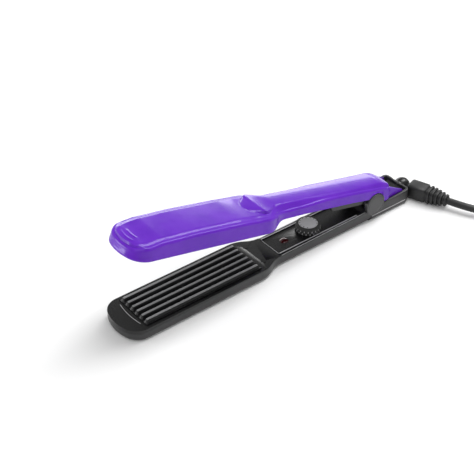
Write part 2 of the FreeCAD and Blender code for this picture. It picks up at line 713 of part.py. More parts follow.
# ---------------------------------------------------------------- hinge
def hinge():
    """Steel pin held in the lower arm's lugs, its two caps and the torsion spring round it."""
    reach = size("handle_half")
    keep(rod("hinge_pin", size("pin_radius"), 2 * reach, Vector(HINGE_X, -reach, HINGE_Z), SIDEWAYS), "hinge_pin")
    for label, side in (("hinge_cap_far", 1), ("hinge_cap_near", -1)):
        disc = rod(label, size("cap_radius"), size("cap_depth"), Vector(HINGE_X, side * reach, HINGE_Z),
                   SIDEWAYS * side)
        rounded = doc.addObject("Part::Chamfer", label + "_edge")
        rounded.Base = disc
        doc.recompute()
        rim = [i for i, edge in enumerate(disc.Shape.Edges, start=1)
               if abs(edge.BoundBox.YMax - side * (reach + size("cap_depth"))) < 1e-6
               and abs(edge.BoundBox.YMin - edge.BoundBox.YMax) < 1e-6]
        rounded.Edges = [(i, 0.5, 0.5) for i in rim]
        keep(rounded, label)
    coil_radius, wire = size("pin_radius") + 1.3, 0.6
    turns, steps, pitch = 4.5, 20, 2 * wire + 0.15
    path = []
    for step in range(int(turns * steps) + 1):
        angle = 2 * math.pi * step / steps
        path.append(Vector(coil_radius * math.cos(angle), coil_radius * math.sin(angle), pitch * step / steps))
    profile = Part.Wire(Part.makeCircle(wire, path[0], path[1] - path[0]))
    spring = doc.addObject("Part::Feature", "hinge_spring_wire")
    spring.Shape = Part.makePolygon(path).makePipeShell([profile], True, False, 1)
    spring.Placement = Placement(Vector(HINGE_X, -pitch * turns / 2, HINGE_Z), Rotation(UP, SIDEWAYS))
    keep(spring, "hinge_spring")


def upper_yoke():
    """Black hinge block of the upper arm with its two bushed bores, either side of the spring."""
    bore = size("pin_radius") + size("bore_clearance")
    bush = bore + size("bush_wall")
    outer = INNER - 0.6
    knuckles = []
    sleeves = []
    for number, side in enumerate((1, -1)):
        start = Vector(HINGE_X, side * 4.6, HINGE_Z)
        barrel = rod(f"knuckle{number}", bush + 2.2, outer - 4.6, start, SIDEWAYS * side)
        strut = box(f"strut{number}", HINGE_X - 11, HINGE_X - 2.5, (outer - 4.6) / 2, HINGE_Z + 1.5,
                    size("upper_top") - 2.6, side * (outer + 4.6) / 2)
        knuckles += [barrel, strut]
        sleeve = rod(f"bush{number}", bush, outer - 4.6, start, SIDEWAYS * side)
        hole = rod(f"bush_hole{number}", bore, outer, start - SIDEWAYS * side, SIDEWAYS * side)
        sleeves.append(cut(f"hinge_bush{number}", sleeve, hole))
    bridge = box("bridge", HINGE_X - 11, HINGE_X - 7, outer, HINGE_Z + 7, size("upper_top") - 2.6)
    block = fuse("yoke", *knuckles, bridge)
    through = rod("yoke_bore", bush, 2 * outer + 2, Vector(HINGE_X, -outer - 1, HINGE_Z), SIDEWAYS)
    swing_open(cut("upper_yoke", block, through), "upper_hinge_yoke")
    group_of("hinge_bushes", sleeves, swing_open)


# ---------------------------------------------------------------- upper arm
def upper_top_cut():
    """Side view of what is cut off above the tip: an arc that runs level into the top."""
    top, reach = size("upper_top"), size("upper_tip_slope")
    drop = top - size("upper_tip_top")
    radius = (reach ** 2 + drop ** 2) / (2 * drop)
    level = Vector(TIP + reach, top, 0)

    def on_arc(x):
        return Vector(x, top - radius + math.sqrt(radius ** 2 - (level.x - x) ** 2), 0)

    front = on_arc(TIP - 5)
    lines = [Part.LineSegment(level, Vector(level.x, top + 10, 0)),
             Part.LineSegment(Vector(level.x, top + 10, 0), Vector(front.x, top + 10, 0)),
             Part.LineSegment(Vector(front.x, top + 10, 0), front)]
    return [Part.Arc(front, on_arc((level.x + front.x) / 2), level)] + lines


def upper_shell():
    """Bright outer shell of the upper arm with a raised handle panel and two rear tails."""
    body = new_body("upper_shell")
    rim, top, rear = size("upper_head_rim"), size("upper_top"), UPPER_REAR
    pad(body, "upper_block", arm_outline(0, rear, size("upper_rear_corner")), rim,
        "sizes.upper_top - sizes.upper_head_rim")
    side_cut(body, "upper_tip_slope_cut", upper_top_cut())
    round_edges(body, "upper_top_round", is_top_edge, "sizes.upper_edge_round")
    pocket_up(body, "upper_hollow_low", arm_outline(WALL, rear - WALL, size("upper_rear_corner") - WALL), rim,
              "sizes.upper_tip_top - sizes.upper_head_rim - 1.5")
    pocket_up(body, "upper_hollow_deep", arm_outline(WALL, rear - WALL, size("upper_rear_corner") - WALL, TIP + 27),
              rim, "sizes.upper_top - sizes.shell_wall - sizes.upper_head_rim")
    panel_front = NECK - 8
    panel = [Part.Arc(Vector(NECK + 2, 15, 0), Vector(panel_front, 0, 0), Vector(NECK + 2, -15, 0)),
             Part.LineSegment(Vector(NECK + 2, -15, 0), Vector(NECK + 15, -11.5, 0)),
             Part.LineSegment(Vector(NECK + 15, -11.5, 0), Vector(rear - 8, -10.5, 0)),
             Part.LineSegment(Vector(rear - 8, -10.5, 0), Vector(rear - 8, 10.5, 0)),
             Part.LineSegment(Vector(rear - 8, 10.5, 0), Vector(NECK + 15, 11.5, 0)),
             Part.LineSegment(Vector(NECK + 15, 11.5, 0), Vector(NECK + 2, 15, 0))]
    raised = pad(body, "panel", panel, top - 0.1, "sizes.upper_panel_top - sizes.upper_top + 0.1")
    bind(raised, TaperAngle="sizes.panel_bevel_angle")
    grip_rim = size("upper_grip_rim")
    side_cut(body, "upper_rim", polygon([(NECK, rim), (SEAM, grip_rim), (HINGE_X - 6, grip_rim),
                                         (HINGE_X + 6, HINGE_Z), (rear + 5, HINGE_Z + 4.6), (rear + 5, rim - 5),
                                         (NECK, rim - 5)]))
    doc.recompute()
    tails = []
    for number, side in enumerate((1, -1)):
        tail = new_body(f"tail{number}")
        reach, outer = TAIL_END, INNER - 0.3
        section = polygon([(rear - 22, HINGE_Z + 9), (rear - 3, HINGE_Z + 0.5), (reach, HINGE_Z + 0.5),
                           (reach, HINGE_Z + 6.5), (rear - 2, HINGE_Z + 12), (rear - 22, HINGE_Z + 13)])
        sketch = new_sketch(tail, f"tail_sketch{number}", "XZ_Plane", section,
                            Vector(0, 0, -side * (outer - size("tail_wall") / 2)))
        feature = tail.newObject("PartDesign::Pad", f"tail_pad{number}")
        feature.Profile = sketch
        feature.Midplane = True
        bind(feature, Length="sizes.tail_wall")
        tails.append(tail)
    bosses, holes = [], []
    for x, low in ((TIP + 10, rim), (10, grip_rim + 2)):
        for side in (1, -1):
            root = Vector(x, side * 8, low)
            high = size("upper_tip_top") - 1.5 if x < NECK else top - WALL
            bosses.append(rod("upper_boss", size("screw_radius") + 1.6, high + 0.3 - low, root, UP))
            holes.append(rod("upper_boss_hole", size("screw_radius"), high - low - 0.6, root, UP))
    whole = fuse("upper_shell", body, *tails, *bosses)
    rounds = [rod(f"lug_gap{number}", size("lug_radius") + size("cap_gap"), size("lug_depth") + 1,
                  Vector(HINGE_X, side * (INNER - 0.6), HINGE_Z), SIDEWAYS * side)
              for number, side in enumerate((1, -1))]
    swing_open(cut("upper_shell", whole, *rounds, *holes), "upper_shell")


def is_top_edge(edge):
    """Pick the edges between the upper block's top and its sides."""
    high = min(vertex.Z for vertex in edge.Vertexes) > size("upper_head_rim") + 1
    straight_across = edge.BoundBox.YLength > 1 and edge.BoundBox.XLength < 1e-4
    return high and not (straight_across and edge.BoundBox.XMin < UPPER_REAR - 1)


def upper_covers():
    """Inner covers of the upper arm: round the plate, and along the grip with a skirt by the hinge."""
    head = new_body("upper_head_cover")
    rim, depth = size("upper_head_rim"), size("upper_cover_depth")
    gap = size("cover_gap")
    pad(head, "upper_head_slab", arm_outline(0, SEAM + 6, 0.5), rim - depth, "sizes.upper_cover_depth - 0.02")
    pocket_up(head, "upper_plate_window", rectangle(size("plate_start") - size("plate_clearance"),
              PLATE_END + size("plate_clearance"), -size("plate_half") - size("plate_clearance"),
              size("plate_half") + size("plate_clearance")), rim - depth, "sizes.upper_cover_depth + 1")
    side_cut(head, "upper_head_end", rectangle(PLATE_END + 2.0, SEAM + 20, -1, 40))
    screws = []
    for number, side in enumerate((1, -1)):
        pocket_up(head, f"upper_screw_hole{number}", circle(TIP + 10, side * 8, size("screw_radius")), rim - depth,
                  "sizes.upper_cover_depth + 1")
        pocket_up(head, f"upper_screw_well{number}", circle(TIP + 10, side * 8, size("screw_head_radius") + 0.2),
                  rim - depth, "1.2")
        screws.append(screw(f"upper_tip_screw{number}", TIP + 10, side * 8,
                            rim - depth + 1.2 - size("screw_head_depth"), 2.4, -1))
    swing_open(head, "upper_head_cover")
    grip = new_body("upper_grip_cover")
    top = size("upper_grip_rim") + 2.0
    rear = HINGE_X - size("lug_radius") - 2
    pad(grip, "upper_grip_block", arm_outline(WALL + gap, rear, 1.0, PLATE_END + 2.2), rim - depth,
        "sizes.upper_grip_rim + 2.0 - sizes.upper_head_rim + sizes.upper_cover_depth")
    step = HINGE_X - 48
    lower = [(NECK - 5, rim - depth), (NECK + 1, rim - depth), (SEAM, top - 3.6),
             (step - 6, top - 3.6), (step, 15.0),
             (rear + 1, 14.0), (rear + 1, 5), (NECK - 5, 5)]
    side_cut(grip, "upper_grip_under", polygon(lower))
    pocket_down(grip, "upper_grip_hollow", arm_outline(WALL + gap + 1.8, rear - 2, 1.0, step + 2), top,
                "sizes.upper_grip_rim + 2.0 - 16.0")
    for number, side in enumerate((1, -1)):
        pocket_up(grip, f"upper_grip_hole{number}", circle(10, side * 8, size("screw_radius")), 10, "20")
        pocket_up(grip, f"upper_grip_well{number}", circle(10, side * 8, size("screw_head_radius") + 0.2), 10,
                  f"{top - 3.6 + 1.7 - 10}")
        screws.append(screw(f"upper_grip_screw{number}", 10, side * 8, top - 3.6 + 0.2, 5.5, -1))
    swing_open(grip, "upper_grip_cover")
    group_of("upper_cover_screws", screws, swing_open)


# ---------------------------------------------------------------- swivel, boot and mains lead
OUTWARD = Vector(math.cos(math.radians(size("swivel_turn"))), math.sin(math.radians(size("swivel_turn"))), 0)
BOOT_END = BALL + OUTWARD * (size("boot_start") + size("boot_length"))


def swivel_housing():
    """Ball cup behind the rear wall, open towards the boot, with its block inside the housing."""
    cup = doc.addObject("Part::Sphere", "cup_ball")
    bind(cup, Radius="sizes.cup_radius")
    cup.Placement = Placement(BALL, Rotation(UP, Vector(1, 0, 0)))
    neck_radius = size("cup_radius") - 1.3
    neck_start = REAR - WALL - 0.9
    neck = rod("cup_neck", neck_radius, BALL.x - 2 - neck_start, Vector(neck_start, 0, BALL.z), Vector(1, 0, 0))
    low = size("rear_cover_seam") + 0.1
    block = box("cup_block", REAR - 13, REAR - WALL - 0.2, 9, low, size("housing_rim") - 0.6)
    whole = fuse("swivel_housing", cup, neck, block)
    thread = [rod("block_hole", size("screw_radius"), 9, Vector(REAR_SCREW_X, side * REAR_SCREW_Y, 0), UP)
              for side in (1, -1)]
    hollow = doc.addObject("Part::Sphere", "cup_hollow")
    bind(hollow, Radius="sizes.ball_radius + sizes.ball_gap")
    hollow.Placement = Placement(BALL, Rotation(UP, Vector(1, 0, 0)))
    mouth = rod("cup_mouth", size("ball_radius") - 0.9, 14, BALL, OUTWARD)
    tunnel = rod("cup_tunnel", size("lead_radius") - 0.3, 30, Vector(REAR - 20, 0, BALL.z), Vector(1, 0, 0))
    keep(cut("swivel_housing", whole, hollow, mouth, tunnel, *thread), "swivel_housing")
    lead_end = HINGE_X + 8
    keep(rod("inner_lead", size("lead_radius") - 0.4, BALL.x - size("ball_radius") - 0.3 - lead_end,
             Vector(lead_end, 0, BALL.z), Vector(1, 0, 0)), "inner_lead")
    clamp_start = HINGE_X + 14
    clamp = box("cord_clamp", clamp_start, clamp_start + 10, 8, low, BALL.z + 4.6)
    groove = rod("clamp_groove", size("lead_radius") - 0.38, 20, Vector(clamp_start - 5, 0, BALL.z), Vector(1, 0, 0))
    keep(cut("cord_clamp", clamp, groove), "cord_clamp")


def swivel():
    """Ball with its short neck, and the ribbed strain relief boot on it."""
    ball = doc.addObject("Part::Sphere", "swivel_ball_round")
    bind(ball, Radius="sizes.ball_radius")
    ball.Placement = Placement(BALL, Rotation())
    neck = rod("ball_neck", size("ball_radius") - 1.7, size("boot_start"), BALL, OUTWARD)
    keep(fuse("swivel_ball", ball, neck), "swivel_ball")
    start, length = size("boot_start"), size("boot_length")
    wide, deep, end = size("boot_width"), size("boot_depth"), size("boot_end")
    stations = [(0.0, wide - 1.6, deep - 1.6), (0.8, wide, deep), (0.45 * length, wide, deep)]
    ribs = 4
    for number in range(ribs):
        along = (0.52 + 0.11 * number) * length
        share = (number + 1) / (ribs + 1)
        rib_wide, rib_deep = wide + (end - wide) * share, deep + (end - deep) * share
        stations += [(along, rib_wide - 2.0, rib_deep - 2.0), (along + 1.4, rib_wide - 2.0, rib_deep - 2.0),
                     (along + 2.0, rib_wide, rib_deep), (along + 3.6, rib_wide, rib_deep)]
    stations.append((length, end, end))
    boot = doc.addObject("Part::Feature", "cord_boot_loft")
    boot.Shape = Part.makeLoft([rounded_section(x, w, d) for x, w, d in stations], True, True)
    boot.Placement = Placement(BALL + OUTWARD * start, Rotation(Vector(1, 0, 0), OUTWARD))
    keep(boot, "cord_boot")


def rounded_section(along, width, depth):
    """Rounded rectangle across the boot at one place along it."""
    corner = 0.33 * min(width, depth)
    y, z = width / 2 - corner, depth / 2 - corner
    diagonal = corner * math.sqrt(0.5)
    edges = []
    turn = [(1, 1), (-1, 1), (-1, -1), (1, -1)]
    for number, (sy, sz) in enumerate(turn):
        on_top = Vector(along, sy * (y + corner), sz * z)
        on_side = Vector(along, sy * y, sz * (z + corner))
        first, last = (on_top, on_side) if number % 2 == 0 else (on_side, on_top)
        edges.append(Part.Arc(first, Vector(along, sy * (y + diagonal), sz * (z + diagonal)), last).toShape())
    joined = []
    for number, edge in enumerate(edges):
        following = edges[(number + 1) % 4]
        joined += [edge, Part.LineSegment(edge.Vertexes[-1].Point, following.Vertexes[0].Point).toShape()]
    return Part.Wire(joined)


COIL_HEIGHT = size("coil_section") + size("tie_wall")
COIL_CENTRE = Vector(BOOT_END.x + size("coil_ahead"), BOOT_END.y + size("coil_aside"), COIL_HEIGHT)

# points of the lead from the boot's end, and of the tail from the coil's centre:
# X, Y and height above the floor
LEAD_STRAIGHT = 17.6
LEAD_POINTS = [(0.0, 0.0, 7.6), (LEAD_STRAIGHT * OUTWARD.x, LEAD_STRAIGHT * OUTWARD.y, 7.6),
               (16.4, -31.6, 5.8), (34.2, -41.4, 4.3), (59.5, -45.1, 3.8), (84.0, -45.5, 4.0)]
TAIL_POINTS = [(-31.9, -26.7, 10.5), (-20.9, -39.3, 11.2), (-2.5, -48.4, 11.0), (18.0, -47.6, 9.6),
               (35.8, -37.2, 8.0), (47.6, -20.6, 7.2), (52.0, -2.6, 7.2)]


def tube(points, radius):
    """Round tube along straight runs joined by tangent arcs; prints each arc's radius."""
    radii = []
    edges = []
    at = points[0]
    for before, corner, after in zip(points, points[1:], points[2:]):
        into, out = (corner - before).normalize(), (after - corner).normalize()
        turn = into.getAngle(out)
        reach = 0.45 * min((corner - before).Length, (after - corner).Length)
        bend = reach / math.tan(turn / 2)
        radii.append(bend)
        first, last = corner - into * reach, corner + out * reach
        inward = (out - into).normalize()
        middle = corner + inward * (bend / math.cos(turn / 2) - bend)
        edges += [Part.LineSegment(at, first).toShape(), Part.Arc(first, middle, last).toShape()]
        at = last
    edges.append(Part.LineSegment(at, points[-1]).toShape())
    path = Part.Wire(edges)
    section = Part.Wire(Part.makeCircle(radius, points[0], points[1] - points[0]))
    solid = path.makePipeShell([section], True, False)
    drift = solid.Volume / (math.pi * radius ** 2 * path.Length) - 1
    print("tube: length", round(path.Length, 1), "smallest radius", round(min(radii), 1),
          "volume off by", round(drift, 5))
    return solid


TIE_ANGLES = (75, 170)


def mains_lead():
    """Lead from the boot into its stored coil, the coil with two ties, and the tail into the plug."""
    radius = size("lead_radius")
    route = [Vector(BOOT_END.x + x, BOOT_END.y + y, height) for x, y, height in LEAD_POINTS]
    lead = doc.addObject("Part::Feature", "lead_tube_sweep")
    lead.Shape = tube(route, radius)
    keep(lead, "lead_tube")
    coil = doc.addObject("Part::Torus", "lead_coil_ring")
    bind(coil, Radius1="sizes.coil_radius", Radius2="sizes.coil_section")
    coil.Placement = Placement(COIL_CENTRE, Rotation())
    keep(coil, "lead_coil")
    ties = []
    for number, angle in enumerate(TIE_ANGLES):
        out = Vector(math.cos(math.radians(angle)), math.sin(math.radians(angle)), 0)
        along = Vector(-out.y, out.x, 0)
        start = COIL_CENTRE + out * size("coil_radius") - along * size("tie_width") / 2
        band = rod(f"tie_band{number}", size("coil_section") + size("tie_wall"), size("tie_width"), start, along)
        inside = rod(f"tie_inside{number}", size("coil_section"), size("tie_width") + 2, start - along, along)
        ties.append(cut(f"coil_tie{number}", band, inside))
    group_of("coil_ties", ties)
    tail_route = [Vector(COIL_CENTRE.x + x, COIL_CENTRE.y + y, height) for x, y, height in TAIL_POINTS]
    tail = doc.addObject("Part::Feature", "lead_tail_sweep")
    tail.Shape = tube(tail_route, radius)
    keep(tail, "lead_tail")
    heading = (tail_route[-1] - tail_route[-2]).normalize()
    heading = Vector(heading.x, heading.y, 0).normalize()
    plug(tail_route[-1], heading)


def plug(start, heading):
    """Flat two-pin plug: tapered relief, waisted body with a rounded outline, and two round pins."""
    turned = Rotation(Vector(1, 0, 0), heading)
    relief = doc.addObject("Part::Cone", "plug_relief")
    bind(relief, Radius1="sizes.lead_radius + 0.9", Radius2="sizes.plug_depth / 2 - 1", Height="sizes.plug_relief")
    relief.Placement = Placement(start, turned.multiply(Rotation(Vector(0, 1, 0), 90)))
    body = new_body("plug_moulding")
    half, long = size("plug_width") / 2, size("plug_length")
    begin = size("plug_relief") - 1
    outline = [Part.LineSegment(Vector(begin, 5.5, 0), Vector(begin, -5.5, 0)),
               Part.Arc(Vector(begin, -5.5, 0), Vector(begin + 0.3 * long, -half * 0.72, 0),
                        Vector(begin + 0.62 * long, -half, 0)),
               Part.LineSegment(Vector(begin + 0.62 * long, -half, 0), Vector(begin + long, -half, 0)),
               Part.LineSegment(Vector(begin + long, -half, 0), Vector(begin + long, half, 0)),
               Part.LineSegment(Vector(begin + long, half, 0), Vector(begin + 0.62 * long, half, 0)),
               Part.Arc(Vector(begin + 0.62 * long, half, 0), Vector(begin + 0.3 * long, half * 0.72, 0),
                        Vector(begin, 5.5, 0))]
    pad(body, "plug_block", outline, -size("plug_depth") / 2, "sizes.plug_depth")
    round_edges(body, "plug_round", lambda edge: edge.BoundBox.ZLength < 1e-4, "2.5")
    body.Placement = Placement(start, turned)
    shell = fuse("plug_body", relief, body)
    keep(shell, "plug_body")
    pins = []
    for number, side in enumerate((1, -1)):
        root = start + turned.multVec(Vector(begin + long, side * size("pin_pitch") / 2, 0))
        pins.append(rod(f"plug_pin{number}", size("plug_pin_radius"), size("plug_pin_length"), root, heading))
    group_of("plug_pins", pins)


for build in (lower_shell, lower_head_cover, grip_cover, rear_lower_cover, lower_plate, upper_plate):
    build()
lower_far = heating_stack("lower", PLATE_UNDER, -1, keep)
upper_far = heating_stack("upper", UPPER_BACK, 1, swing_open)
carrier_feet("lower", lower_far, FLOOR, keep)
carrier_feet("upper", upper_far, size("upper_top") - WALL, swing_open)
for build in (electronics, lamp_lens, dial, hinge, upper_yoke, upper_shell, upper_covers, swivel_housing,
              swivel, mains_lead):
    build()

doc.recompute()
failed = [item.Label for item in doc.Objects if "Invalid" in item.State or "Error" in item.State]
if failed:
    raise ValueError(f"failed objects: {failed}")
for node in nodes:
    shape = node.Shape
    if shape.isNull() or not shape.isValid():
        raise ValueError(f"{node.Label} has no valid shape")
for node in nodes:
    node.Shape.exportStep(f"parts/{node.Label}.step")
    print(f"{node.Label:24s} solids {len(node.Shape.Solids)}  volume {node.Shape.Volume:9.1f}")
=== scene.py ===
"""Looks of a hair crimper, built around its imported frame.

The lower arm lies on the floor.  X runs from the tip (-X) to the lead end (+X), Y is the width and Z is up.
The classes hold their sizes in millimetres, and the mesh builders turn them into metres.  The upper arm's
surfaces are worked out with the arm closed and are then turned open about the hinge pin.
"""
from __future__ import annotations

import json
import logging
import math
from dataclasses import dataclass
from enum import Enum

import bmesh
import bpy
import numpy as np
from mathutils import Matrix, Vector

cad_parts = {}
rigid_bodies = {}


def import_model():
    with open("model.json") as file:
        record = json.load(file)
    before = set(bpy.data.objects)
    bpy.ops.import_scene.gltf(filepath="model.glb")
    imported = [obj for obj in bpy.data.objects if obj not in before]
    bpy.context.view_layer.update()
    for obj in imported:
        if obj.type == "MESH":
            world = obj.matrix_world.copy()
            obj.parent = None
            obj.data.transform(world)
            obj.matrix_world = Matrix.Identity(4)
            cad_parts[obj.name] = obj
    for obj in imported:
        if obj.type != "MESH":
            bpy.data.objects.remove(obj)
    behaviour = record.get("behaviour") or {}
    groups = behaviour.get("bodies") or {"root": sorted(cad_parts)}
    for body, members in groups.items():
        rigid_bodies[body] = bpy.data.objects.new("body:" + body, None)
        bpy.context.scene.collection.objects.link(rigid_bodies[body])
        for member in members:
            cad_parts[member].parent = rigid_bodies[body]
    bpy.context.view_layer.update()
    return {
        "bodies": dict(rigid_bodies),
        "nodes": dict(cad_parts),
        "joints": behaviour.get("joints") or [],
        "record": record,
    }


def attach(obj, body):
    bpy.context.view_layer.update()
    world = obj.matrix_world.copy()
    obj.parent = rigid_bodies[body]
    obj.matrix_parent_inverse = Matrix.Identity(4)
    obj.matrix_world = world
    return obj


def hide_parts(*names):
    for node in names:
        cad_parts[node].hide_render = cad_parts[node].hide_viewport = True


Array = np.ndarray
Skin = tuple[Array, Array]
Colour = tuple[int, int, int]
Point = tuple[float, float, float]
Node = bpy.types.Node
Socket = bpy.types.NodeSocket

MM = 0.001
UP = np.array([0.0, 0.0, 1.0])
HINGE = np.array([104.0, 0.0, 16.6])
SMOOTH_UNDER = 38.0
SOFTEN_OVER = 32.0
log = logging.getLogger("crimper")


# ---------------------------------------------------------------- finishes
class Relief(Enum):
    """The kind of fine relief that a finish has."""
    GLOSS = "gloss"
    SATIN = "satin"
    BRUSHED = "brushed"
    SPECKLED = "speckled"
    TURNED = "turned"
    RUBBER = "rubber"


def tint(colour: Colour) -> tuple[float, float, float, float]:
    """Linear colour, with an opacity of 1, of a display colour given from 0 to 255."""
    parts = np.array(colour) / 255.0
    straight = np.where(parts <= 0.04045, parts / 12.92, ((parts + 0.055) / 1.055) ** 2.4)
    return (*(float(part) for part in straight), 1.0)


class NodeTree:
    """A material's node tree, with short ways to add nodes and fill their inputs."""

    def __init__(self, material: bpy.types.Material) -> None:
        """Keep the node tree of the material."""
        material.use_nodes = True
        self.tree = material.node_tree

    def fill(self, node: Node, values: dict[str, object]) -> Node:
        """Link each value that is a socket to its input and set the others as constants.

        Args:
            node: the node.
            values: a socket or a constant for each named input.

        Returns:
            The same node.
        """
        for name, value in values.items():
            if isinstance(value, Socket):
                self.tree.links.new(value, node.inputs[name])
            else:
                node.inputs[name].default_value = value
        return node

    def add(self, kind: str, values: dict[str, object]) -> Node:
        """Add a shader node of a kind and fill its inputs."""
        return self.fill(self.tree.nodes.new("ShaderNode" + kind), values)

    def mixed(self, factor: Socket, first: object, second: object) -> Socket:
        """Colour that goes from the first to the second as the factor goes from 0 to 1."""
        node = self.tree.nodes.new("ShaderNodeMix")
        node.data_type = "RGBA"
        return self.fill(node, {"Factor": factor, "A": first, "B": second}).outputs["Result"]

    def ranged(self, value: Socket, low: float, high: float, start: float = 0.0, end: float = 1.0) -> Socket:
        """Value that goes from `start` to `end` as the given one goes from `low` to `high`."""
        return self.add("MapRange", {"Value": value, "From Min": low, "From Max": high, "To Min": start,
                                     "To Max": end}).outputs["Result"]


@dataclass(frozen=True)
class Finish:
    """One finish: two close colours, a spread of roughness and a fine relief, sized in millimetres.

    A paler colour lies on the raised edges or, where `crest` is given, above that height.  On the lower plate
    and the dial it is a painted highlight.
    """
    name: str
    colour: Colour
    second: Colour
    rough_low: float
    rough_high: float
    relief: Relief
    grain: float = 0.5
    depth: float = 0.01
    patch: float = 18.0
    metallic: float = 0.0
    coat: float = 0.0
    coat_rough: float = 0.05
    clear: float = 0.0
    specular: float = 0.5
    highlight_and_wear: Colour | None = None
    crest: float | None = None
    centre: Point = (0.0, 0.0, 0.0)

    def material(self) -> bpy.types.Material:
        """Build the node material of this finish, once.

        Returns:
            The material, whose patterns all read Object coordinates.
        """
        found = bpy.data.materials.get(self.name)
        if found:
            return found
        material = bpy.data.materials.new(self.name)
        web = NodeTree(material)
        place = web.add("TexCoord", {}).outputs["Object"]
        patches = web.ranged(self._noise(web, place, self.patch, 3.0), 0.35, 0.65)
        colour = web.mixed(patches, tint(self.colour), tint(self.second))
        # paler colour on raised edges or above the crest: a painted highlight on the plate and the dial
        if self.highlight_and_wear:
            colour = web.mixed(self._highlight_and_wear_share(web, place), colour, tint(self.highlight_and_wear))
        fine = self._fine(web, place)
        bump = web.add("Bump", {"Strength": 0.6, "Distance": self.depth * MM, "Height": fine})
        web.fill(material.node_tree.nodes["Principled BSDF"], {
            "Base Color": colour,
            "Roughness": web.ranged(fine, 0.3, 0.7, self.rough_low, self.rough_high),
            "Normal": bump.outputs["Normal"],
            "Metallic": self.metallic,
            "Specular IOR Level": self.specular,
            "Coat Weight": self.coat,
            "Coat Roughness": self.coat_rough,
            "Transmission Weight": self.clear,
        })
        return material

    def _noise(self, web: NodeTree, place: Socket, size: float, detail: float,
               stretch: Point = (1.0, 1.0, 1.0)) -> Socket:
        """Noise on Object coordinates.

        Args:
            web: the material's node tree.
            place: the coordinates.
            size: size of the noise's features in millimetres.
            detail: octaves of the noise.
            stretch: scale along each axis; under 1 draws the pattern out.

        Returns:
            The noise's value.
        """
        mapped = web.add("Mapping", {"Vector": place, "Scale": stretch}).outputs["Vector"]
        values = {"Vector": mapped, "Scale": 1.0 / (size * MM), "Detail": detail}
        return web.add("TexNoise", values).outputs["Fac"]

    def _fine(self, web: NodeTree, place: Socket) -> Socket:
        """The fine pattern that drives bump and roughness: rings, cells or noise, drawn out where brushed."""
        if self.relief is Relief.TURNED:
            mapped = web.add("Mapping", {"Vector": place, "Location": [-part * MM for part in self.centre]})
            wave = web.add("TexWave", {"Vector": mapped.outputs["Vector"], "Scale": 0.35 / (self.grain * MM),
                                       "Distortion": 0.6})
            wave.wave_type = "RINGS"
            wave.rings_direction = "Z"
            return wave.outputs["Fac"]
        if self.relief is Relief.SPECKLED:
            cells = web.add("TexVoronoi", {"Vector": place, "Scale": 1.0 / (self.grain * MM)})
            return cells.outputs["Distance"]
        stretch = (0.04, 1.0, 1.0) if self.relief is Relief.BRUSHED else (1.0, 1.0, 1.0)
        detail = {Relief.GLOSS: 1.0, Relief.BRUSHED: 4.0, Relief.SATIN: 5.0, Relief.RUBBER: 7.0}[self.relief]
        return self._noise(web, place, self.grain, detail, stretch)

    def _highlight_and_wear_share(self, web: NodeTree, place: Socket) -> Socket:
        """How much of the paler colour a place gets, up to 0.75: by its raised edges, or by its height over
        `crest`; on the plate and the dial this is a painted highlight.
        """
        if self.crest is None:
            shape = web.add("NewGeometry", {}).outputs["Pointiness"]
            return web.ranged(shape, 0.52, 0.62, 0.0, 0.75)
        height = web.add("SeparateXYZ", {"Vector": place}).outputs["Z"]
        return web.ranged(height, self.crest * MM, (self.crest + 0.3) * MM, 0.0, 0.75)


PURPLE_GLOSS = Finish("purple_gloss", (102, 35, 190), (94, 29, 182), 0.2, 0.26, Relief.GLOSS,
                      grain=6.0, depth=0.001, coat=0.25, specular=0.2)
BLACK_SATIN = Finish("black_satin", (50, 50, 51), (43, 43, 44), 0.34, 0.46, Relief.SATIN,
                     grain=0.35, depth=0.008)
BLACK_GLOSS = Finish("black_gloss", (13, 13, 14), (9, 9, 10), 0.24, 0.34, Relief.SATIN,
                     grain=0.4, depth=0.004)
# Pale grey of the painted highlights: strips along the black mouldings' edges and the dial's knurl glints.
HIGHLIGHT_GREY = Finish("highlight_grey", (205, 205, 207), (190, 190, 192), 0.26, 0.36, Relief.SATIN,
                   grain=0.3, depth=0.004)
SCREW_BLACK = Finish("screw_black", (30, 30, 31), (22, 22, 23), 0.3, 0.44, Relief.BRUSHED,
                     grain=0.3, depth=0.005, metallic=0.4)
CAP_GREY = Finish("cap_grey", (66, 66, 67), (58, 58, 59), 0.3, 0.42, Relief.SATIN,
                  grain=0.3, depth=0.006, highlight_and_wear=(112, 112, 113))
PLATE_BLACK = Finish("plate_black", (22, 22, 24), (15, 15, 17), 0.22, 0.34, Relief.BRUSHED,
                     grain=0.35, depth=0.004, metallic=0.2)
# Lower plate: ridge tops above the crest height are painted pale grey, a painted highlight along each ridge.
PLATE_RIDGE_HIGHLIGHT = Finish("plate_ridge_highlight", (22, 22, 24), (15, 15, 17), 0.22, 0.34, Relief.BRUSHED,
                      grain=0.35, depth=0.004, metallic=0.2, highlight_and_wear=(178, 178, 180), crest=14.6)
# The dial's raised edges, the knurl's crests most of all, are painted pale grey: a painted highlight.
DIAL_BLACK = Finish("dial_black", (22, 22, 23), (16, 16, 17), 0.26, 0.38, Relief.SATIN,
                    grain=0.3, depth=0.005, highlight_and_wear=(190, 190, 192))
DIAL_SILVER = Finish("dial_silver", (226, 226, 228), (212, 212, 214), 0.3, 0.44, Relief.TURNED,
                     grain=0.35, depth=0.01, centre=(39.0, 0.0, 0.0))
LAMP_RED = Finish("lamp_red", (96, 12, 20), (70, 8, 14), 0.08, 0.16, Relief.GLOSS,
                  grain=0.8, depth=0.004, coat=0.6, clear=0.35)
STEEL = Finish("steel", (176, 177, 180), (158, 159, 162), 0.22, 0.36, Relief.BRUSHED,
               grain=0.3, depth=0.005, metallic=1.0)
SPRING = Finish("spring_steel", (122, 123, 128), (96, 97, 102), 0.28, 0.42, Relief.BRUSHED,
                grain=0.2, depth=0.004, metallic=1.0)
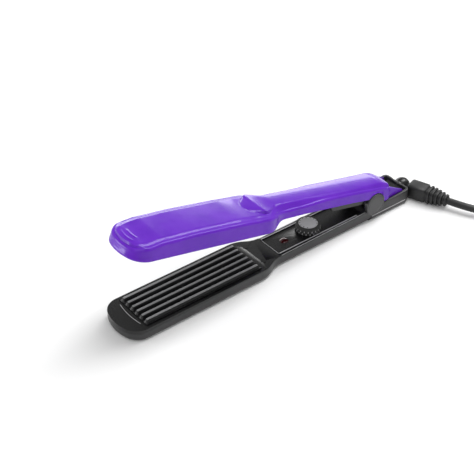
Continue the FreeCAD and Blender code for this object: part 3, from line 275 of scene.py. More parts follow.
BRASS = Finish("brass", (196, 160, 88), (178, 142, 74), 0.24, 0.38, Relief.BRUSHED,
               grain=0.3, depth=0.005, metallic=1.0)
BOOT_RUBBER = Finish("boot_rubber", (20, 20, 21), (15, 15, 16), 0.42, 0.58, Relief.RUBBER,
                     grain=0.3, depth=0.01, highlight_and_wear=(44, 44, 45))
LEAD_PVC = Finish("lead_pvc", (19, 19, 20), (14, 14, 15), 0.36, 0.5, Relief.RUBBER,
                  grain=0.5, depth=0.008)
TIE_STRAP = Finish("tie_strap", (38, 38, 41), (28, 28, 30), 0.7, 0.9, Relief.RUBBER,
                   grain=0.25, depth=0.05)
PLUG_PVC = Finish("plug_pvc", (21, 21, 22), (16, 16, 17), 0.38, 0.5, Relief.SATIN,
                  grain=0.35, depth=0.01, highlight_and_wear=(40, 40, 41))
NICKEL = Finish("nickel", (196, 194, 188), (180, 178, 172), 0.14, 0.26, Relief.BRUSHED,
                grain=0.3, depth=0.003, metallic=1.0)
HEATER_CERAMIC = Finish("heater_ceramic", (214, 208, 196), (196, 188, 174), 0.6, 0.8,
                        Relief.SPECKLED, grain=0.8, depth=0.02)
MICA = Finish("mica", (190, 172, 132), (168, 148, 108), 0.25, 0.45, Relief.SPECKLED,
              grain=1.5, depth=0.01, coat=0.3)
HEAT_RESIN = Finish("heat_resin", (70, 60, 50), (58, 48, 40), 0.5, 0.7, Relief.SPECKLED,
                    grain=0.6, depth=0.02)
BOARD_GREEN = Finish("board_green", (24, 84, 46), (18, 70, 38), 0.3, 0.45, Relief.SATIN,
                     grain=0.8, depth=0.01, coat=0.3)
CHIP_BLACK = Finish("chip_black", (26, 26, 28), (20, 20, 22), 0.45, 0.6, Relief.SPECKLED,
                    grain=0.2, depth=0.01)

FRAME_FINISHES: dict[Finish, tuple[str, ...]] = {
    PURPLE_GLOSS: ("upper_shell",),
    BLACK_SATIN: ("lower_shell", "rear_lower_cover", "cord_clamp", "board_bosses", "upper_hinge_yoke"),
    BLACK_GLOSS: ("lower_head_cover", "grip_cover", "upper_head_cover", "upper_grip_cover", "swivel_housing",
                  "swivel_ball"),
    CAP_GREY: ("hinge_cap_far", "hinge_cap_near"),
    PLATE_BLACK: ("upper_crimp_plate",),
    PLATE_RIDGE_HIGHLIGHT: ("lower_crimp_plate",),
    DIAL_BLACK: ("heat_dial", "dial_shaft"),
    DIAL_SILVER: ("dial_inlay",),
    LAMP_RED: ("indicator_lens", "indicator_led"),
    SCREW_BLACK: ("neck_screws",),
    STEEL: ("hinge_pin", "rear_cover_screws", "board_screws", "upper_cover_screws"),
    SPRING: ("hinge_spring",),
    BRASS: ("hinge_bushes",),
    BOOT_RUBBER: ("cord_boot",),
    LEAD_PVC: ("lead_tube", "lead_coil", "lead_tail", "inner_lead"),
    TIE_STRAP: ("coil_ties",),
    PLUG_PVC: ("plug_body",),
    NICKEL: ("plug_pins",),
    HEATER_CERAMIC: ("lower_heater", "upper_heater", "lower_standoffs", "upper_standoffs"),
    MICA: ("lower_mica_sheet", "upper_mica_sheet"),
    HEAT_RESIN: ("lower_plate_carrier", "upper_plate_carrier", "lower_thermal_fuse", "upper_thermal_fuse"),
    BOARD_GREEN: ("control_board",),
    CHIP_BLACK: ("potentiometer", "power_switch_chip", "smoothing_capacitor"),
}


# ---------------------------------------------------------------- surface helpers
def eased(place: Array, knots: list[tuple[float, float]]) -> Array:
    """Height that runs from knot to knot along S-curves: t*t*(3 - 2t) between each pair.

    Args:
        place: where the height is wanted.
        knots: (place, height) pairs in rising order.

    Returns:
        The height at each place, level before the first and after the last knot.
    """
    places, heights = np.array(knots, float).T
    index = np.clip(np.searchsorted(places, place) - 1, 0, len(places) - 2)
    share = np.clip((place - places[index]) / (places[index + 1] - places[index]), 0.0, 1.0)
    return heights[index] + (heights[index + 1] - heights[index]) * share * share * (3.0 - 2.0 * share)


def smooth(value: Array) -> Array:
    """S-curve from 0 to 1 as the value goes from 0 to 1."""
    share = np.clip(value, 0.0, 1.0)
    return share * share * (3.0 - 2.0 * share)


def arc(centre_x: float, centre_y: float, radius: float, start: float, end: float, count: int = 60) -> Array:
    """Points on a circle from one angle to another: centre plus radius times (cos a, sin a)."""
    angles = np.linspace(start, end, count)
    return np.stack([centre_x + radius * np.cos(angles), centre_y + radius * np.sin(angles)], 1)


def resampled(points: Array, step: float) -> Array:
    """The same line with its points an even distance apart along it.

    Args:
        points: the line, (points, axes); doubled points are dropped.
        step: the wanted distance.

    Returns:
        The new points, from the first to the last of the old ones.
    """
    lengths = np.linalg.norm(np.diff(points, axis=0), axis=1)
    keep = np.concatenate([[True], lengths > 1e-9])
    points = points[keep]
    travel = np.concatenate([[0.0], np.cumsum(np.linalg.norm(np.diff(points, axis=0), axis=1))])
    places = np.linspace(0.0, travel[-1], int(round(travel[-1] / step)) + 1)
    return np.stack([np.interp(places, travel, points[:, axis]) for axis in range(points.shape[1])], 1)


def grid_faces(rows: int, columns: int) -> Array:
    """Quads between neighbouring rows of a grid whose columns close on themselves."""
    row = np.arange(rows - 1)[:, None] * columns
    column = np.arange(columns)[None, :]
    following = (column + 1) % columns
    return np.stack([row + column, row + following, row + columns + following, row + columns + column],
                    -1).reshape(-1, 4)


def loft(rings: Array) -> Skin:
    """Join rings of points (rings, points, 3) into one closed skin of points and quads."""
    count, columns = rings.shape[:2]
    return rings.reshape(-1, 3), grid_faces(count, columns)


def strip(x: Array | float, y: Array | float, z: Array | float, half: float, rise: float) -> Skin:
    """Thin raised line with a low trapezoid section along given points.

    Args:
        x, y, z: the points, each an array or one value for all of them.
        half: half of the line's width.
        rise: how far it stands over the points; it reaches 0.3 mm below them.

    Returns:
        The line's closed skin.
    """
    line = np.stack(np.broadcast_arrays(x, y, z), 1)
    side = np.cross(np.gradient(line, axis=0), UP)
    side /= np.linalg.norm(side, axis=1)[:, None]
    profile = np.array([(-half, -0.3), (half, -0.3), (half, rise * 0.5), (half * 0.7, rise),
                        (-half * 0.7, rise), (-half, rise * 0.5)])
    rings = line[:, None, :] + side[:, None, :] * profile[None, :, :1] + UP * profile[None, :, 1:]
    first, last = np.repeat(line[:1], len(profile), 0), np.repeat(line[-1:], len(profile), 0)
    return loft(np.concatenate([first[None], rings, last[None]]))


def turned(profile: Array, steps: int = 96) -> Array:
    """Rings of a turned shape: each (radius, height) of the profile goes round the Z axis."""
    angles = np.linspace(0.0, 2.0 * np.pi, steps, endpoint=False)
    radius, height = profile[:, 0][:, None], profile[:, 1][:, None]
    return np.stack([radius * np.cos(angles), radius * np.sin(angles), height + 0.0 * angles], -1)


def about_pin(profile: Array, start: float, side: int, steps: int) -> Skin:
    """Shape turned about the hinge pin.

    Args:
        profile: (radius, depth) pairs, the depth going outwards along the pin.
        start: distance of depth 0 from the middle of the arm.
        side: 1 for the +Y side and -1 for the other.
        steps: points in a ring.

    Returns:
        The closed skin.
    """
    rings = turned(profile, steps)
    return loft(np.stack([rings[..., 0], side * (start + rings[..., 2]), rings[..., 1]], -1) + HINGE)


def superloft(rows: list[tuple[float, float, float, float]], steps: int) -> Array:
    """Rings of rounded-rectangle sections along X.

    Each ring is the superellipse y = wide * sign(cos a) |cos a|^(2/power), z = deep * sign(sin a)
    |sin a|^(2/power), so a power of 2 is an oval and a large power a rectangle.

    Args:
        rows: place along X, half width, half depth and power of each ring.
        steps: points in a ring.

    Returns:
        The rings, (rows, steps, 3).
    """
    along, wide, deep, power = np.array(rows, float).T[..., None]
    angles = np.linspace(0.0, 2.0 * np.pi, steps, endpoint=False)
    cosine, sine = np.cos(angles), np.sin(angles)
    y = wide * np.sign(cosine) * np.abs(cosine) ** (2.0 / power)
    z = deep * np.sign(sine) * np.abs(sine) ** (2.0 / power)
    return np.stack([along + 0.0 * y, y, z], -1)


def placed(points: Array, origin: Array, forward: Array) -> Array:
    """Carry points from their own axes (X forward, Z up) to a place and a level direction."""
    forward = forward / np.linalg.norm(forward)
    side = np.cross(UP, forward)
    side /= np.linalg.norm(side)
    return origin + points @ np.stack([forward, side, np.cross(forward, side)])


def rounded_profile(corners: list[tuple[float, float]], radii: list[float], count: int = 5) -> Array:
    """Open profile through corners, each rounded by a quadratic curve that starts `radius` before it.

    Args:
        corners: the corners in order.
        radii: one rounding for each corner between the first and the last.
        count: points on each rounded corner.

    Returns:
        The profile's points.
    """
    ends = np.array(corners, float)
    points = [ends[:1]]
    share = np.linspace(0.0, 1.0, count)[:, None]
    for before, corner, after, radius in zip(ends, ends[1:], ends[2:], radii):
        into, out = before - corner, after - corner
        start = corner + into / np.linalg.norm(into) * min(radius, np.linalg.norm(into) / 2)
        end = corner + out / np.linalg.norm(out) * min(radius, np.linalg.norm(out) / 2)
        points.append((1 - share) ** 2 * start + 2 * share * (1 - share) * corner + share ** 2 * end)
    return np.concatenate([*points, ends[-1:]])


def added(name: str, data: bpy.types.ID) -> bpy.types.Object:
    """New object in the scene that holds the data, at the origin."""
    item = bpy.data.objects.new(name, data)
    bpy.context.scene.collection.objects.link(item)
    return item


def aimed(item: bpy.types.Object, place: Point, direction: Point) -> None:
    """Put a light or camera at a place so that it faces a direction."""
    item.location = place
    item.rotation_mode = "QUATERNION"
    item.rotation_quaternion = Vector(direction).to_track_quat("-Z", "Y")


def shaded(mesh: bpy.types.Mesh, angle: float) -> None:
    """Shade a mesh smooth, apart from the edges that turn more than the angle in degrees."""
    mesh.polygons.foreach_set("use_smooth", np.ones(len(mesh.polygons), bool))
    mesh.set_sharp_from_angle(angle=math.radians(angle))


class Workshop:
    """Turns skins into pieces and gives the frame's own nodes their finishes."""

    def __init__(self, frame: dict) -> None:
        """Keep the loaded frame and the hinge's place and opening."""
        self.frame = frame
        hinge = [joint for joint in frame["joints"] if joint["name"] == "arm_hinge"][0]
        self.hinge = np.array(hinge["pos_m"]) / MM
        self.opening = math.radians(-hinge["range_deg"][0])

    def open_up(self, points: Array) -> Array:
        """Turn points of the closed upper arm open about the hinge pin, which lies along Y."""
        turn = np.array(Matrix.Rotation(self.opening, 3, "Y"))
        return self.hinge + (points - self.hinge) @ turn.T

    def piece(self, name: str, skins: list[Skin], body: str, finish: Finish, slot: str,
              replaces: tuple[str, ...] = ()) -> bpy.types.Object:
        """Make one piece of closed skins.

        Args:
            name: the piece's name.
            skins: pairs of points in millimetres and quads.
            body: the body that it rides on.
            finish: its finish.
            slot: not used.
            replaces: the frame's nodes that it stands for.

        Returns:
            The object, at the origin.
        """
        mesh = bpy.data.meshes.new(name)
        joined = bmesh.new()
        for points, faces in skins:
            part = bpy.data.meshes.new(name + "_skin")
            part.from_pydata((points * MM).tolist(), [], faces.tolist())
            skin = bmesh.new()
            skin.from_mesh(part)
            bmesh.ops.remove_doubles(skin, verts=skin.verts, dist=1e-6)
            bmesh.ops.dissolve_degenerate(skin, dist=1e-7, edges=skin.edges)
            bmesh.ops.recalc_face_normals(skin, faces=skin.faces)
            if skin.calc_volume(signed=True) < 0:
                bmesh.ops.reverse_faces(skin, faces=skin.faces)
            skin.to_mesh(part)
            skin.free()
            joined.from_mesh(part)
            bpy.data.meshes.remove(part)
        joined.to_mesh(mesh)
        joined.free()
        shaded(mesh, SMOOTH_UNDER)
        return self.dress(added(name, mesh), body, finish, replaces)

    def softened(self, node: str, width: float, body: str, finish: Finish) -> bpy.types.Object:
        """Piece that has a frame node's shape with its hard edges rounded off.

        Args:
            node: the frame's node, which the piece stands for.
            width: width of the rounding in millimetres.
            body, finish: as for `piece`.

        Returns:
            The object, with a live Bevel modifier.
        """
        mesh = self.frame["nodes"][node].data.copy()
        merged = bmesh.new()
        merged.from_mesh(mesh)
        bmesh.ops.remove_doubles(merged, verts=merged.verts, dist=2e-6)
        bmesh.ops.dissolve_limit(merged, angle_limit=math.radians(0.5), verts=merged.verts,
                                 edges=merged.edges)
        merged.to_mesh(mesh)
        merged.free()
        shaded(mesh, SOFTEN_OVER)
        piece = added(node + "_moulding", mesh)
        bevel = piece.modifiers.new("rounded edges", "BEVEL")
        bevel.width = width * MM
        bevel.segments = 2
        bevel.limit_method = "ANGLE"
        bevel.angle_limit = math.radians(SOFTEN_OVER)
        bevel.harden_normals = True
        mesh.materials.clear()
        return self.dress(piece, body, finish, (node,))

    def dress(self, piece: bpy.types.Object, body: str, finish: Finish,
              replaces: tuple[str, ...]) -> bpy.types.Object:
        """Give a piece its finish, body and the nodes that it stands for, and report it."""
        piece.data.materials.append(finish.material())
        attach(piece, body)
        if replaces:
            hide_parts(*replaces)
        log.info("%s rides %s and is %s", piece.name, body, finish.name)
        return piece

    def finish_frame(self) -> None:
        """Give every node of the frame its procedural finish."""
        for finish, nodes in FRAME_FINISHES.items():
            for node in nodes:
                for holder in self.frame["nodes"][node].material_slots:
                    holder.material = finish.material()


# ---------------------------------------------------------------- plan of the arms
@dataclass(frozen=True)
class ArmPlan:
    """Plan of an arm: broad tip curve, corner arcs, straight sides, S-shaped neck and a square end."""
    tip: float = -161.5
    head_half: float = 23.0
    grip_half: float = 15.5
    front_radius: float = 40.0
    corner_radius: float = 15.0
    neck_start: float = -30.0
    neck_length: float = 26.0
    rear: float = 148.0
    rear_corner: float = 4.0
    step: float = 0.6

    def loop(self) -> tuple[Array, Array]:
        """Points round the outline, evenly spaced, and the outward normal at each.

        The +Y half is a chain of arcs: radius 40 about a point on the middle line, radius 15 at the
        corner, two equal and opposite arcs in the neck and the rear corner.  The other half mirrors it.
        """
        big, small, half, grip = self.front_radius, self.corner_radius, self.head_half, self.grip_half
        nose_x = self.tip + big
        corner_x = nose_x - math.sqrt((big - small) ** 2 - (half - small) ** 2)
        touch = math.atan2(half - small, corner_x - nose_x)
        drop = half - grip
        bend = (self.neck_length ** 2 + drop ** 2) / (4 * drop)
        turn = math.asin(self.neck_length / 2 / bend)
        quarter = math.pi / 2
        neck_end = self.neck_start + self.neck_length
        rear = self.rear - self.rear_corner
        line = np.concatenate([
            arc(nose_x, 0.0, big, math.pi, touch),
            arc(corner_x, half - small, small, touch, quarter),
            arc(self.neck_start, half - bend, bend, quarter, quarter - turn),
            arc(neck_end, grip + bend, bend, -quarter - turn, -quarter),
            arc(rear, grip - self.rear_corner, self.rear_corner, quarter, 0.0, 30),
            [[self.rear, 0.0]],
        ])
        upper = resampled(line, self.step)
        points = np.concatenate([upper, upper[-2:0:-1] * [1.0, -1.0]])
        along = np.roll(points, -1, 0) - np.roll(points, 1, 0)
        normals = np.stack([-along[:, 1], along[:, 0]], 1)
        normals /= np.linalg.norm(normals, axis=1, keepdims=True)
        return points, normals

    def half_width(self, place: Array) -> Array:
        """Half of the arm's width at a place along it, from the outline itself."""
        points, _ = self.loop()
        side = points[: len(points) // 2 + 1]
        return np.interp(place, side[:, 0], side[:, 1])


@dataclass(frozen=True)
class Outline:
    """Points round an arm with their normals, and the spine, which is a stretch of the middle line."""
    points: Array
    normals: Array
    spine_start: float
    spine_end: float

    def flat(self, inset: float, share: float = 0.0) -> Array:
        """Plan of the outline drawn in by an inset, then moved a share of the way to the spine."""
        x = self.points[:, 0]
        spine = np.stack([np.clip(x, self.spine_start, self.spine_end), np.zeros_like(x)], 1)
        return (self.points - self.normals * inset) * (1.0 - share) + spine * share

    def ring(self, inset: float, height: Array) -> Array:
        """The outline drawn in by an inset, at a height for each point."""
        return np.concatenate([self.points - self.normals * inset, height[:, None]], 1)


# ---------------------------------------------------------------- upper arm
@dataclass(frozen=True)
class UpperShell:
    """Glossy shell of the upper arm, worked out closed: rim, drafted wall, soft edge and crowned top."""
    plan: ArmPlan = ArmPlan(rear=124.5, rear_corner=6.0, step=0.5)
    wall: float = 2.2
    draft: float = 0.7
    edge: float = 3.0
    top_rings: int = 46
    spine_start: float = -140.0
    spine_end: float = 112.0
    lug_reach: float = 11.0
    rear_fall: float = 4.2
    fall_start: float = 108.0
    fall_length: float = 16.5
    panel_top: float = 34.0
    nose: float = -41.5
    nose_back: float = -28.5
    nose_half: float = 15.4
    panel_rise: float = 2.4
    skirt: float = 1.85
    lip: float = 0.14

    def rim(self, x: Array) -> Array:
        """Height of the lower edge, which rises in the neck and arches over the hinge lug."""
        line = eased(x, [(-22, 19.5), (-7, 22.8), (24, 23.4), (70, 23.2), (92, 22.6), (116, 18.0),
                         (125, 20.2)])
        reach = np.clip(self.lug_reach ** 2 - (x - HINGE[0]) ** 2, 0.0, None)
        return np.where(reach > 0, np.maximum(line, HINGE[2] + np.sqrt(reach)), line)

    def shoulder(self, x: Array) -> Array:
        """Height at which the side wall turns into the top."""
        return eased(x, [(-162, 26.2), (-150, 28.4), (-132, 30.7), (-100, 31.6), (-60, 31.4), (-38, 30.7),
                         (-7, 29.4), (10, 30.0), (43, 31.8), (80, 31.6), (112, 30.9), (125, 30.2)])

    def panel_half(self, x: Array) -> Array:
        """Half width of the raised panel: wide at its nose, then narrow along the handle."""
        nose = self.nose_half * np.sqrt(np.clip((x - self.nose) / (self.nose_back - self.nose), 0.0, 1.0))
        neck = eased(x, [(-27, self.nose_half), (-13, 9.3), (60, 9.6), (124, 10.4)])
        return np.minimum(nose, neck)

    def top(self, x: Array, y: Array) -> Array:
        """Height of the top: shoulder, gentle crown, raised panel and the rubbed grips at the tip.

        Across the head the height rises 1.1 mm over a band beside the edge and 0.5 mm more to the
        middle.  On the handle a straight slope runs from the edge up to the panel's crease.  Behind the
        hinge the top falls away with the square of the distance.

        Args:
            x, y: the places.

        Returns:
            The height at each place.
        """
        half = self.plan.half_width(x) - self.edge
        base = self.shoulder(x) + 0.3
        reach = np.abs(y)
        panel = self.panel_half(x)
        head = base + 1.1 * smooth((half - reach) / 5.5) + 0.5 * (1.0 - (reach / np.maximum(half, 1.0)) ** 2)
        slope = np.clip((half - reach) / np.maximum(half - panel, 0.5), 0.0, 1.0)
        crown = 0.7 * (1.0 - np.minimum(reach / np.maximum(panel, 1.0), 1.0) ** 2)
        handle = base + (self.panel_top + 0.3 - base) * slope + crown
        on_handle = smooth((x + 29.0) / 17.0)
        front = self.nose + (self.nose_back - self.nose) * (reach / self.nose_half) ** 2
        facet = np.clip((x - front) / np.maximum(self.nose_back - 1.0 - front, 0.6), 0.0, 1.0)
        inside = smooth((panel + 0.5 - reach) / 1.2) * (x > self.nose - 1.0)
        raised = self.panel_rise * facet * inside * (1.0 - on_handle)
        groove = 0.3 * np.exp(-((reach - panel) / 0.55) ** 2) * smooth((x - self.nose) / 1.5)
        fall = self.rear_fall * np.clip((x - self.fall_start) / self.fall_length, 0.0, 1.0) ** 2
        return head * (1.0 - on_handle) + handle * on_handle + raised - groove + self.grips(x, y) - fall

    def grips(self, x: Array, y: Array) -> Array:
        """Three short curved ribs near the tip, each a soft ridge along part of a circle."""
        height = np.zeros_like(x)
        for radius in (17.0, 21.5, 26.0):
            away = np.hypot(x + 134.0, y) - radius
            turn = np.abs(np.arctan2(y, -(x + 134.0)))
            height += 0.55 * np.exp(-(away / 0.8) ** 2) * smooth((0.5 - turn) / 0.25)
        return height

    def skin(self) -> Skin:
        """The closed shell: inner roof, inner wall, rim, outer wall, edge and top as one stack of rings.

        Round the head a thin skirt of the outer wall reaches down over the plate's cover.  Each ring is
        the outline drawn in by an inset at a height.  The roofs' rings run straight from the last such
        ring to the spine.
        """
        outline = Outline(*self.plan.loop(), self.spine_start, self.spine_end)
        ring, x = outline.ring, outline.points[:, 0]
        low, high = self.rim(x), self.shoulder(x)
        skirt = low - self.skirt * (1.0 - smooth((x + 24.0) / 12.0))
        foot, wall_top = low + 0.35, high - self.edge

        def roof(inset: float, share: float, lift: float) -> Array:
            """Ring that lies `lift` under the top."""
            flat = outline.flat(inset, share)
            return np.concatenate([flat, (self.top(flat[:, 0], flat[:, 1]) - lift)[:, None]], 1)

        stack = [roof(self.wall + 1.2, share, self.wall + 0.6) for share in np.linspace(1.0, 0.0, 8)]
        stack += [ring(inset, height) for inset, height in (
            (self.wall, np.maximum(low + 0.5, high - 4.0)), (self.wall, foot), (self.wall - 0.15, low + 0.08),
            (self.wall - 0.4, low), (0.4, low), (0.0, low), (-0.02, skirt), (-self.lip, skirt),
            (-self.lip, foot))]
        for share in np.linspace(0.1, 1.0, 12):
            height = foot * (1 - share) + np.maximum(wall_top, low + 0.4) * share
            stack.append(ring(self.draft * share, height))
        for angle in np.linspace(0.12, 1.0, 8) * math.pi / 2:
            inset = self.draft + (self.edge - self.draft) * (1.0 - math.cos(angle))
            flat = outline.flat(inset)
            limit = self.top(flat[:, 0], flat[:, 1])
            stack.append(ring(inset, np.minimum(wall_top + self.edge * math.sin(angle) * 1.1, limit)))
        stack += [roof(self.edge, share, 0.0) for share in np.linspace(0.02, 1.0, self.top_rings)]
        return loft(np.stack(stack))

    def tail(self, side: int) -> Skin:
        """One of the two tails behind the shell: a side outline carried through the tail's thickness."""
        outline = np.array([(103.0, 27.5), (119.5, 17.6), (139.6, 17.3), (141.0, 18.6), (141.0, 22.8),
                            (140.0, 23.9), (123.0, 28.9), (106.0, 30.0)])
        inner, outer, edge = 11.0, 13.0, 0.35
        centre = outline.mean(0)
        shrunk = centre + (outline - centre) * 0.965
        point = centre + 0.0 * outline
        rings = [(point, inner), (shrunk, inner), (outline, inner + edge), (outline, outer - edge),
                 (shrunk, outer), (point, outer)]
        return loft(np.stack([np.stack([line[:, 0], 0 * line[:, 0] + side * place, line[:, 1]], 1)
                              for line, place in rings]))

    def build(self, shop: Workshop) -> None:
        """Make the shell with its tails."""
        closed = (self.skin(), self.tail(1), self.tail(-1))
        skins = [(shop.open_up(points), faces) for points, faces in closed]
        shop.piece("upper_outer_shell", skins, "upper_arm", PURPLE_GLOSS, "purple_shell", ("upper_shell",))


@dataclass(frozen=True)
class CrimpPlate:
    """Heating plate with lengthwise ridges and bevelled ends."""
    start: float = -144.0
    length: float = 115.0
    half: float = 19.5
    base: float = 2.4
    pitch: float = 6.5
    ridge: float = 2.8
    crest: float = 1.95
    slope: float = 1.3
    ridges: int = 6
    foot: float = 12.2
    flip: int = 1
    lip: float = 0.9

    def section(self) -> Array:
        """Closed section across the plate as (y, height over the foot), with rounded corners.

        The lower plate, whose `flip` is 1, has a raised lip along each side.
        """
        side, lip_top = self.half, 0.6 if self.flip > 0 else 0.0
        corners, radii = [(0.0, -self.base), (side, -self.base), (side, lip_top)], [0.3, 0.25]
        if self.flip > 0:
            corners += [(side - self.lip, lip_top), (side - self.lip, 0.0)]
            radii += [0.2, 0.15]
        out = self.crest / 2 + self.slope
        for number in range(self.ridges):
            middle = ((self.ridges - 1) / 2 - number) * self.pitch
            corners += [(middle + out, 0.0), (middle + self.crest / 2, self.ridge),
                        (middle - self.crest / 2, self.ridge), (middle - out, 0.0)]
            radii += [0.35, 0.45, 0.45, 0.35]
        if self.flip > 0:
            corners += [(self.lip - side, 0.0), (self.lip - side, lip_top)]
            radii += [0.15, 0.2]
        corners += [(-side, lip_top), (-side, -self.base), (0.0, -self.base)]
        return rounded_profile(corners, radii + [0.25, 0.3])[:-1]

    def skin(self) -> Skin:
        """The section carried along X; near each end the ridges slope down to the foot."""
        section = self.section()
        inward = np.array([0.0, 0.0, 0.25, 0.6, 1.0, 1.5, 2.0, 2.6, 3.2])
        inner = np.linspace(6.0, self.length - 6.0, 20)
        stations = np.concatenate([inward, inner, self.length - inward[::-1]])
        from_end = np.minimum(stations, self.length - stations)
        rise = np.clip(0.08 + from_end / 2.4, 0.0, 1.0)[:, None]
        closing = np.ones((len(stations), 1))
        closing[[0, -1]] = 0.0
        height = np.where(section[:, 1] > 0, section[:, 1] * rise, section[:, 1])
        height = np.where(closing > 0, height, -self.base / 2)
        return loft(np.stack([self.start + stations[:, None] + 0.0 * height, section[:, 0] * closing,
                              self.foot + self.flip * height], -1))


@dataclass(frozen=True)
class UpperArm:
    """Everything that swings with the upper arm."""
    shell: UpperShell = UpperShell()
    plate: CrimpPlate = CrimpPlate(ridges=5, foot=15.8, flip=-1)

    def build(self, shop: Workshop) -> None:
        """Make the upper shell, plate and inner covers."""
        self.shell.build(shop)
        points, faces = self.plate.skin()
        shop.piece("upper_ribbed_plate", [(shop.open_up(points), faces)], "upper_arm", PLATE_BLACK, "plate",
                   ("upper_crimp_plate",))
        for node in ("upper_head_cover", "upper_grip_cover"):
            shop.softened(node, 0.3, "upper_arm", BLACK_GLOSS)
        shop.softened("upper_hinge_yoke", 0.25, "upper_arm", BLACK_SATIN)


# ---------------------------------------------------------------- lower arm
@dataclass(frozen=True)
class LowerShell:
    """Tray of the lower arm: rounded bottom edge, sloping rim with soft corners, floor and hinge lugs."""
    plan: ArmPlan = ArmPlan()
    wall: float = 2.2
    floor: float = 2.4
    edge: float = 4.5
    soft: float = 0.4
    bulge_start: float = 97.0
    bulge_seam: float = 4.5
    spine_start: float = -138.0
    spine_end: float = 134.0
    lug_radius: float = 10.2
    lug_depth: float = 2.6

    def rim(self, x: Array) -> Array:
        """Height of the rim: low at the tip, higher at the neck, and stepped up beside the rear housing."""
        return np.interp(x, [-166.5, -30.0, -4.3, 93.8, 112.0, 153.0], [8.0, 11.2, 10.3, 11.8, 13.4, 14.9])

    def skin(self) -> Skin:
        """One stack of rings from the underside round the rim to the floor inside.

        The rear wall is drawn in by half a millimetre where the swivel's ball stands behind it.
        """
        points, normals = self.plan.loop()
        behind = points[:, 0] > points[:, 0].max() - 0.5
        points = points - np.outer(0.5 * behind * smooth((7.5 - np.abs(points[:, 1])) / 2.0), [1.0, 0.0])
        outline = Outline(points, normals, self.spine_start, self.spine_end)
        ring, x = outline.ring, points[:, 0]
        rim, under = self.rim(x), np.clip(x - self.bulge_start, 0.0, self.bulge_seam)
        shoulder, inner = rim - self.soft, self.wall - self.soft

        def level(inset: float, share: float, height: float, over: float) -> Array:
            """Ring at a height, or `over` above the bulge's slope where that is higher."""
            flat = outline.flat(inset, share)
            raised = np.clip(flat[:, 0] - self.bulge_start, 0.0, self.bulge_seam)
            return np.concatenate([flat, np.maximum(height, raised + over)[:, None]], 1)

        stack = [level(self.edge, share, 0.0, 0.0) for share in np.linspace(1.0, 0.0, 10)]
        for angle in np.linspace(0.1, 1.0, 10) * math.pi / 2:
            inset = self.edge * (1.0 - math.sin(angle))
            stack.append(ring(inset, np.maximum(self.edge * (1.0 - math.cos(angle)), under)))
        stack += [ring(0.0, shoulder * share + (self.edge + 0.1) * (1.0 - share))
                  for share in (0.25, 0.5, 0.75, 1.0)]
        stack += [ring(inset, height) for inset, height in (
            (0.12, rim - 0.12), (self.soft, rim), (inner, rim), (self.wall - 0.12, rim - 0.12),
            (self.wall, shoulder), (self.wall, 0 * rim + 7.2), (self.wall + 0.6, 0 * rim + 6.6))]
        stack += [level(self.wall + 0.6, share, self.floor, 2.0) for share in np.linspace(0.0, 1.0, 8)]
        return loft(np.stack(stack))

    def lug(self, side: int) -> Skin:
        """Round lug at the hinge: a disc with soft rims turned about the pin."""
        radius, depth = self.lug_radius, self.lug_depth
        profile = rounded_profile([(0.0, 0.0), (radius, 0.0), (radius, depth), (0.0, depth)], [0.3, 0.3])
        return about_pin(profile, self.plan.grip_half - depth, side, 120)


@dataclass(frozen=True)
class HingeCap:
    """Domed cap over the end of the hinge pin, with a rounded rim and two fine turned lines."""
    radius: float = 10.5
    depth: float = 1.7
    place: float = 15.5

    def skin(self, side: int) -> Skin:
        """The cap's profile turned about the pin; the face rises to the middle."""
        radius, depth = self.radius, self.depth
        corners = [(0.0, 0.0), (radius - 0.15, 0.0), (radius, 0.7), (radius - 0.05, depth - 0.45),
                   (radius - 0.9, depth - 0.05), (radius - 1.5, depth - 0.08), (radius - 1.8, depth - 0.28),
                   (radius - 2.1, depth - 0.08), (radius * 0.5, depth - 0.02), (0.0, depth)]
        profile = rounded_profile(corners, [0.2, 0.3, 0.4, 0.3, 0.12, 0.12, 0.12, 1.0])
        return about_pin(profile, self.place, side, 144)


